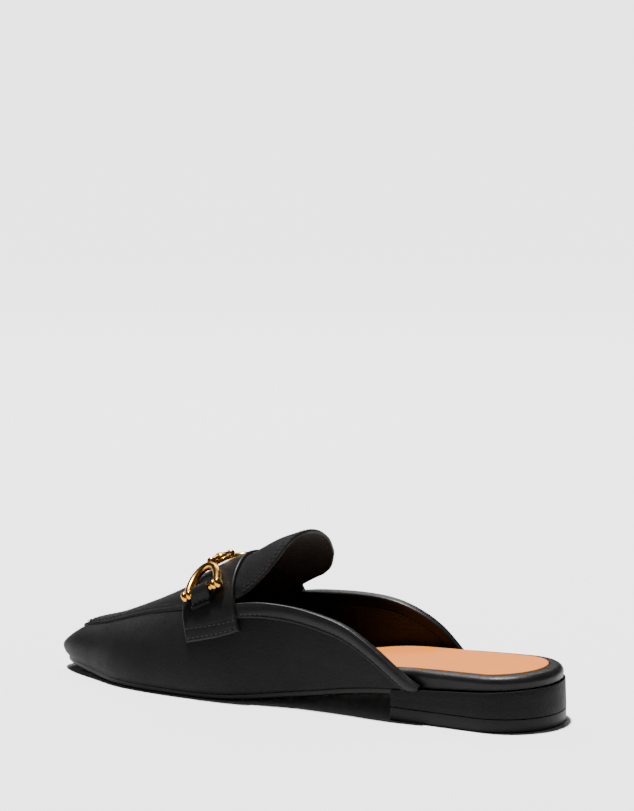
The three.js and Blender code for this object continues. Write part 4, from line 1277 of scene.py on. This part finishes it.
# Stage
CAMERA_AZIMUTH = 26.76
CAMERA_PITCH = 9.15
FOCAL_PIXELS = 3369.92  # focal length in pixels of the photograph's frame
FRAME_WIDTH, FRAME_HEIGHT = 634, 811
CAMERA_DISTANCE = 1598.42  # from a point AIM_HEIGHT above the origin of the last's frame
AIM_HEIGHT = 30
AIM_X, AIM_Y = 305.26, 631.62  # where that point falls in the frame, in pixels
SENSOR = 36
CLIP = (0.01, 200)  # nearest and farthest that is drawn, in metres
FLOOR_REACH = 30  # metres from the origin to each side of the floor
KEY_AIM = (0.2, -0.1, -0.97)  # direction in which the key light shines
STRIP_PLACE, STRIP_AIM = (-0.5, 0.9, 0.9), (0, 0, 0.03)  # metres
STRIP_LENGTH, STRIP_WIDTH = 0.9, 0.3  # metres


def make_camera():
    a, e = math.radians(CAMERA_AZIMUTH), math.radians(CAMERA_PITCH)
    back = Vector((math.sin(a) * math.cos(e), -math.cos(a) * math.cos(e), math.sin(e)))
    right = Vector((math.cos(a), math.sin(a), 0))
    up = back.cross(right)
    ray = Vector((AIM_X - FRAME_WIDTH / 2, FRAME_HEIGHT / 2 - AIM_Y, FOCAL_PIXELS)).normalized()
    toward = right * ray.x + up * ray.y - back * ray.z
    eye = (Vector((0, 0, AIM_HEIGHT)) - Vector(MIDDLE) - CAMERA_DISTANCE * toward) * MM
    camera = add_object("camera", bpy.data.cameras.new("camera"))
    camera.data.sensor_width = SENSOR
    camera.data.lens = FOCAL_PIXELS / FRAME_HEIGHT * SENSOR
    camera.data.clip_start, camera.data.clip_end = CLIP
    camera.matrix_world = Matrix.Translation(eye) @ Matrix((right, up, back)).transposed().to_4x4()
    bpy.context.scene.camera = camera


def add_light(name, kind, energy, aim):
    """A light that shines along a direction."""
    light = add_object(name, bpy.data.lights.new(name, kind))
    light.data.energy = energy
    light.rotation_mode = "QUATERNION"
    light.rotation_quaternion = Vector(aim).to_track_quat("-Z", "Y")
    return light


def make_stage():
    stage = bpy.context.scene.loafer_stage
    corners = [(x * FLOOR_REACH, y * FLOOR_REACH, 0) for x, y in ((-1, -1), (1, -1), (1, 1), (-1, 1))]
    mesh = bpy.data.meshes.new("floor")
    mesh.from_pydata(corners, [], [(0, 1, 2, 3)])
    mesh.materials.append(new_material("matt studio floor", list(stage.floor), Roughness=0.9)[0])
    floor = add_object("floor", mesh)
    world = bpy.data.worlds.new("studio")
    world.use_nodes = True
    background = world.node_tree.nodes["Background"]
    background.inputs["Color"].default_value = (1, 1, 1, 1)
    background.inputs["Strength"].default_value = stage.sky
    bpy.context.scene.world = world
    key = add_light("key", "SUN", stage.key, KEY_AIM)
    key.data.angle = stage.key_softness
    strip = add_light("strip", "AREA", stage.strip, Vector(STRIP_AIM) - Vector(STRIP_PLACE))
    strip.location = STRIP_PLACE
    strip.data.shape = "RECTANGLE"
    strip.data.size, strip.data.size_y = STRIP_LENGTH, STRIP_WIDTH
    make_camera()


# Add-on
def colour_property(name, description, code):
    return bpy.props.FloatVectorProperty(
        name=name, description=description, size=3, subtype="COLOR", min=0, max=1, default=srgb(code)
    )


def length_property(name, description, default, precision=4):
    return bpy.props.FloatProperty(
        name=name, description=description, default=default, unit="LENGTH", precision=precision
    )


class LoaferSizes(bpy.types.PropertyGroup):
    """Sizes of the sewing"""

    stitch_spacing: length_property("Stitch spacing", "From one stitch to the next", 0.0024)
    stitch_length: length_property("Stitch length", "Length of thread that shows", 0.0018)
    thread_thickness: length_property("Thread thickness", "Thickness of the sewing thread", 0.0006, 5)


class LoaferColours(bpy.types.PropertyGroup):
    """Colours of the shoe's materials"""

    calf: colour_property("Calf", "Upper, strap, rim and heel cover", "#0f0f0f")
    lining: colour_property("Lining", "Inside of the upper and tongue", "#1a1918")
    sock: colour_property("Sock", "Leather that the foot stands on", "#ba681c")
    sole: colour_property("Sole", "Outsole and the heel's top piece", "#0f0f0f")
    metal: colour_property("Metal", "Rings and link", "#c08a34")
    # The thread's colour is lifted above black as a painted sheen for the glints on the stitches.
    thread: colour_property("Thread", "All the stitches", "#131212")


class LoaferStage(bpy.types.PropertyGroup):
    """Floor and light"""

    floor: colour_property("Floor", "Plain pale floor", "#f0f0f0")
    sky: bpy.props.FloatProperty(name="Sky", description="Even light from all round", default=0.06)
    key: bpy.props.FloatProperty(
        name="Key light", description="Light from high behind the far side", default=12.0
    )
    key_softness: bpy.props.FloatProperty(
        name="Key softness",
        description="Angle that the key light fills",
        default=math.radians(4),
        subtype="ANGLE",
    )
    strip: bpy.props.FloatProperty(
        name="Strip light", description="Long light that draws the edges", default=7.0, unit="POWER"
    )


class LoaferUpper(bpy.types.Operator):
    """Makes the lasted upper with its lining"""

    bl_idname = "loafer.upper"
    bl_label = "Upper"

    def execute(self, context):
        make_upper()
        return {"FINISHED"}


class LoaferApron(bpy.types.Operator):
    """Makes the raised apron and the tongue that it runs on as"""

    bl_idname = "loafer.apron"
    bl_label = "Apron and tongue"

    def execute(self, context):
        make_apron()
        return {"FINISHED"}


class LoaferStrap(bpy.types.Operator):
    """Makes the saddle strap"""

    bl_idname = "loafer.strap"
    bl_label = "Saddle strap"

    def execute(self, context):
        make_strap()
        return {"FINISHED"}


class LoaferBindings(bpy.types.Operator):
    """Makes the folded bindings of both collars"""

    bl_idname = "loafer.bindings"
    bl_label = "Collar bindings"

    def execute(self, context):
        make_binding(-1, "binding_medial")
        make_binding(1, "binding_lateral")
        return {"FINISHED"}


class LoaferFootbed(bpy.types.Operator):
    """Makes the wrapped footbed and its tan sock"""

    bl_idname = "loafer.footbed"
    bl_label = "Footbed and sock"

    def execute(self, context):
        make_footbed()
        make_sock()
        return {"FINISHED"}


class LoaferSole(bpy.types.Operator):
    """Makes the outsole, the covered heel and its top piece"""

    bl_idname = "loafer.sole"
    bl_label = "Sole and heel"

    def execute(self, context):
        make_sole()
        make_heel()
        return {"FINISHED"}


class LoaferHardware(bpy.types.Operator):
    """Makes the metal rings, the link between them and the leather tabs that hold them"""

    bl_idname = "loafer.hardware"
    bl_label = "Rings, link and tabs"

    def execute(self, context):
        for side, name in ((-1, "medial"), (1, "lateral")):
            make_ring(side, f"ring_{name}")
            make_tab(side, f"tab_{name}")
        make_link()
        return {"FINISHED"}


class LoaferStitches(bpy.types.Operator):
    """Sews every visible seam"""

    bl_idname = "loafer.stitches"
    bl_label = "Stitches"

    def execute(self, context):
        make_stitches()
        return {"FINISHED"}


class LoaferStudio(bpy.types.Operator):
    """Sets up the floor, the lights and the camera"""

    bl_idname = "loafer.studio"
    bl_label = "Stage"

    def execute(self, context):
        make_stage()
        return {"FINISHED"}


STEPS = (
    LoaferUpper,
    LoaferApron,
    LoaferStrap,
    LoaferBindings,
    LoaferFootbed,
    LoaferSole,
    LoaferHardware,
    LoaferStitches,
    LoaferStudio,
)


class LoaferPanel(bpy.types.Panel):
    """Lists the steps that dress the loafer, with its sizes and colours"""

    bl_idname = "VIEW3D_PT_loafer"
    bl_label = "Loafer"
    bl_space_type = "VIEW_3D"
    bl_region_type = "UI"
    bl_category = "Loafer"

    def draw(self, context):
        for group in (context.scene.loafer_sizes, context.scene.loafer_colours, context.scene.loafer_stage):
            for name in type(group).__annotations__:
                self.layout.prop(group, name)
        for step in STEPS:
            self.layout.operator(step.bl_idname)


GROUPS = {"loafer_sizes": LoaferSizes, "loafer_colours": LoaferColours, "loafer_stage": LoaferStage}


def register():
    for kind in (*GROUPS.values(), *STEPS, LoaferPanel):
        bpy.utils.register_class(kind)
    for name, kind in GROUPS.items():
        setattr(bpy.types.Scene, name, bpy.props.PointerProperty(type=kind))


def unregister():
    for name in GROUPS:
        delattr(bpy.types.Scene, name)
    for kind in reversed((*GROUPS.values(), *STEPS, LoaferPanel)):
        bpy.utils.unregister_class(kind)


def main():
    register()
    bpy.ops.loafer.upper()
    bpy.ops.loafer.apron()
    bpy.ops.loafer.strap()
    bpy.ops.loafer.bindings()
    bpy.ops.loafer.footbed()
    bpy.ops.loafer.sole()
    bpy.ops.loafer.hardware()
    bpy.ops.loafer.stitches()
    bpy.ops.loafer.studio()


if __name__ == "__main__":
    main()
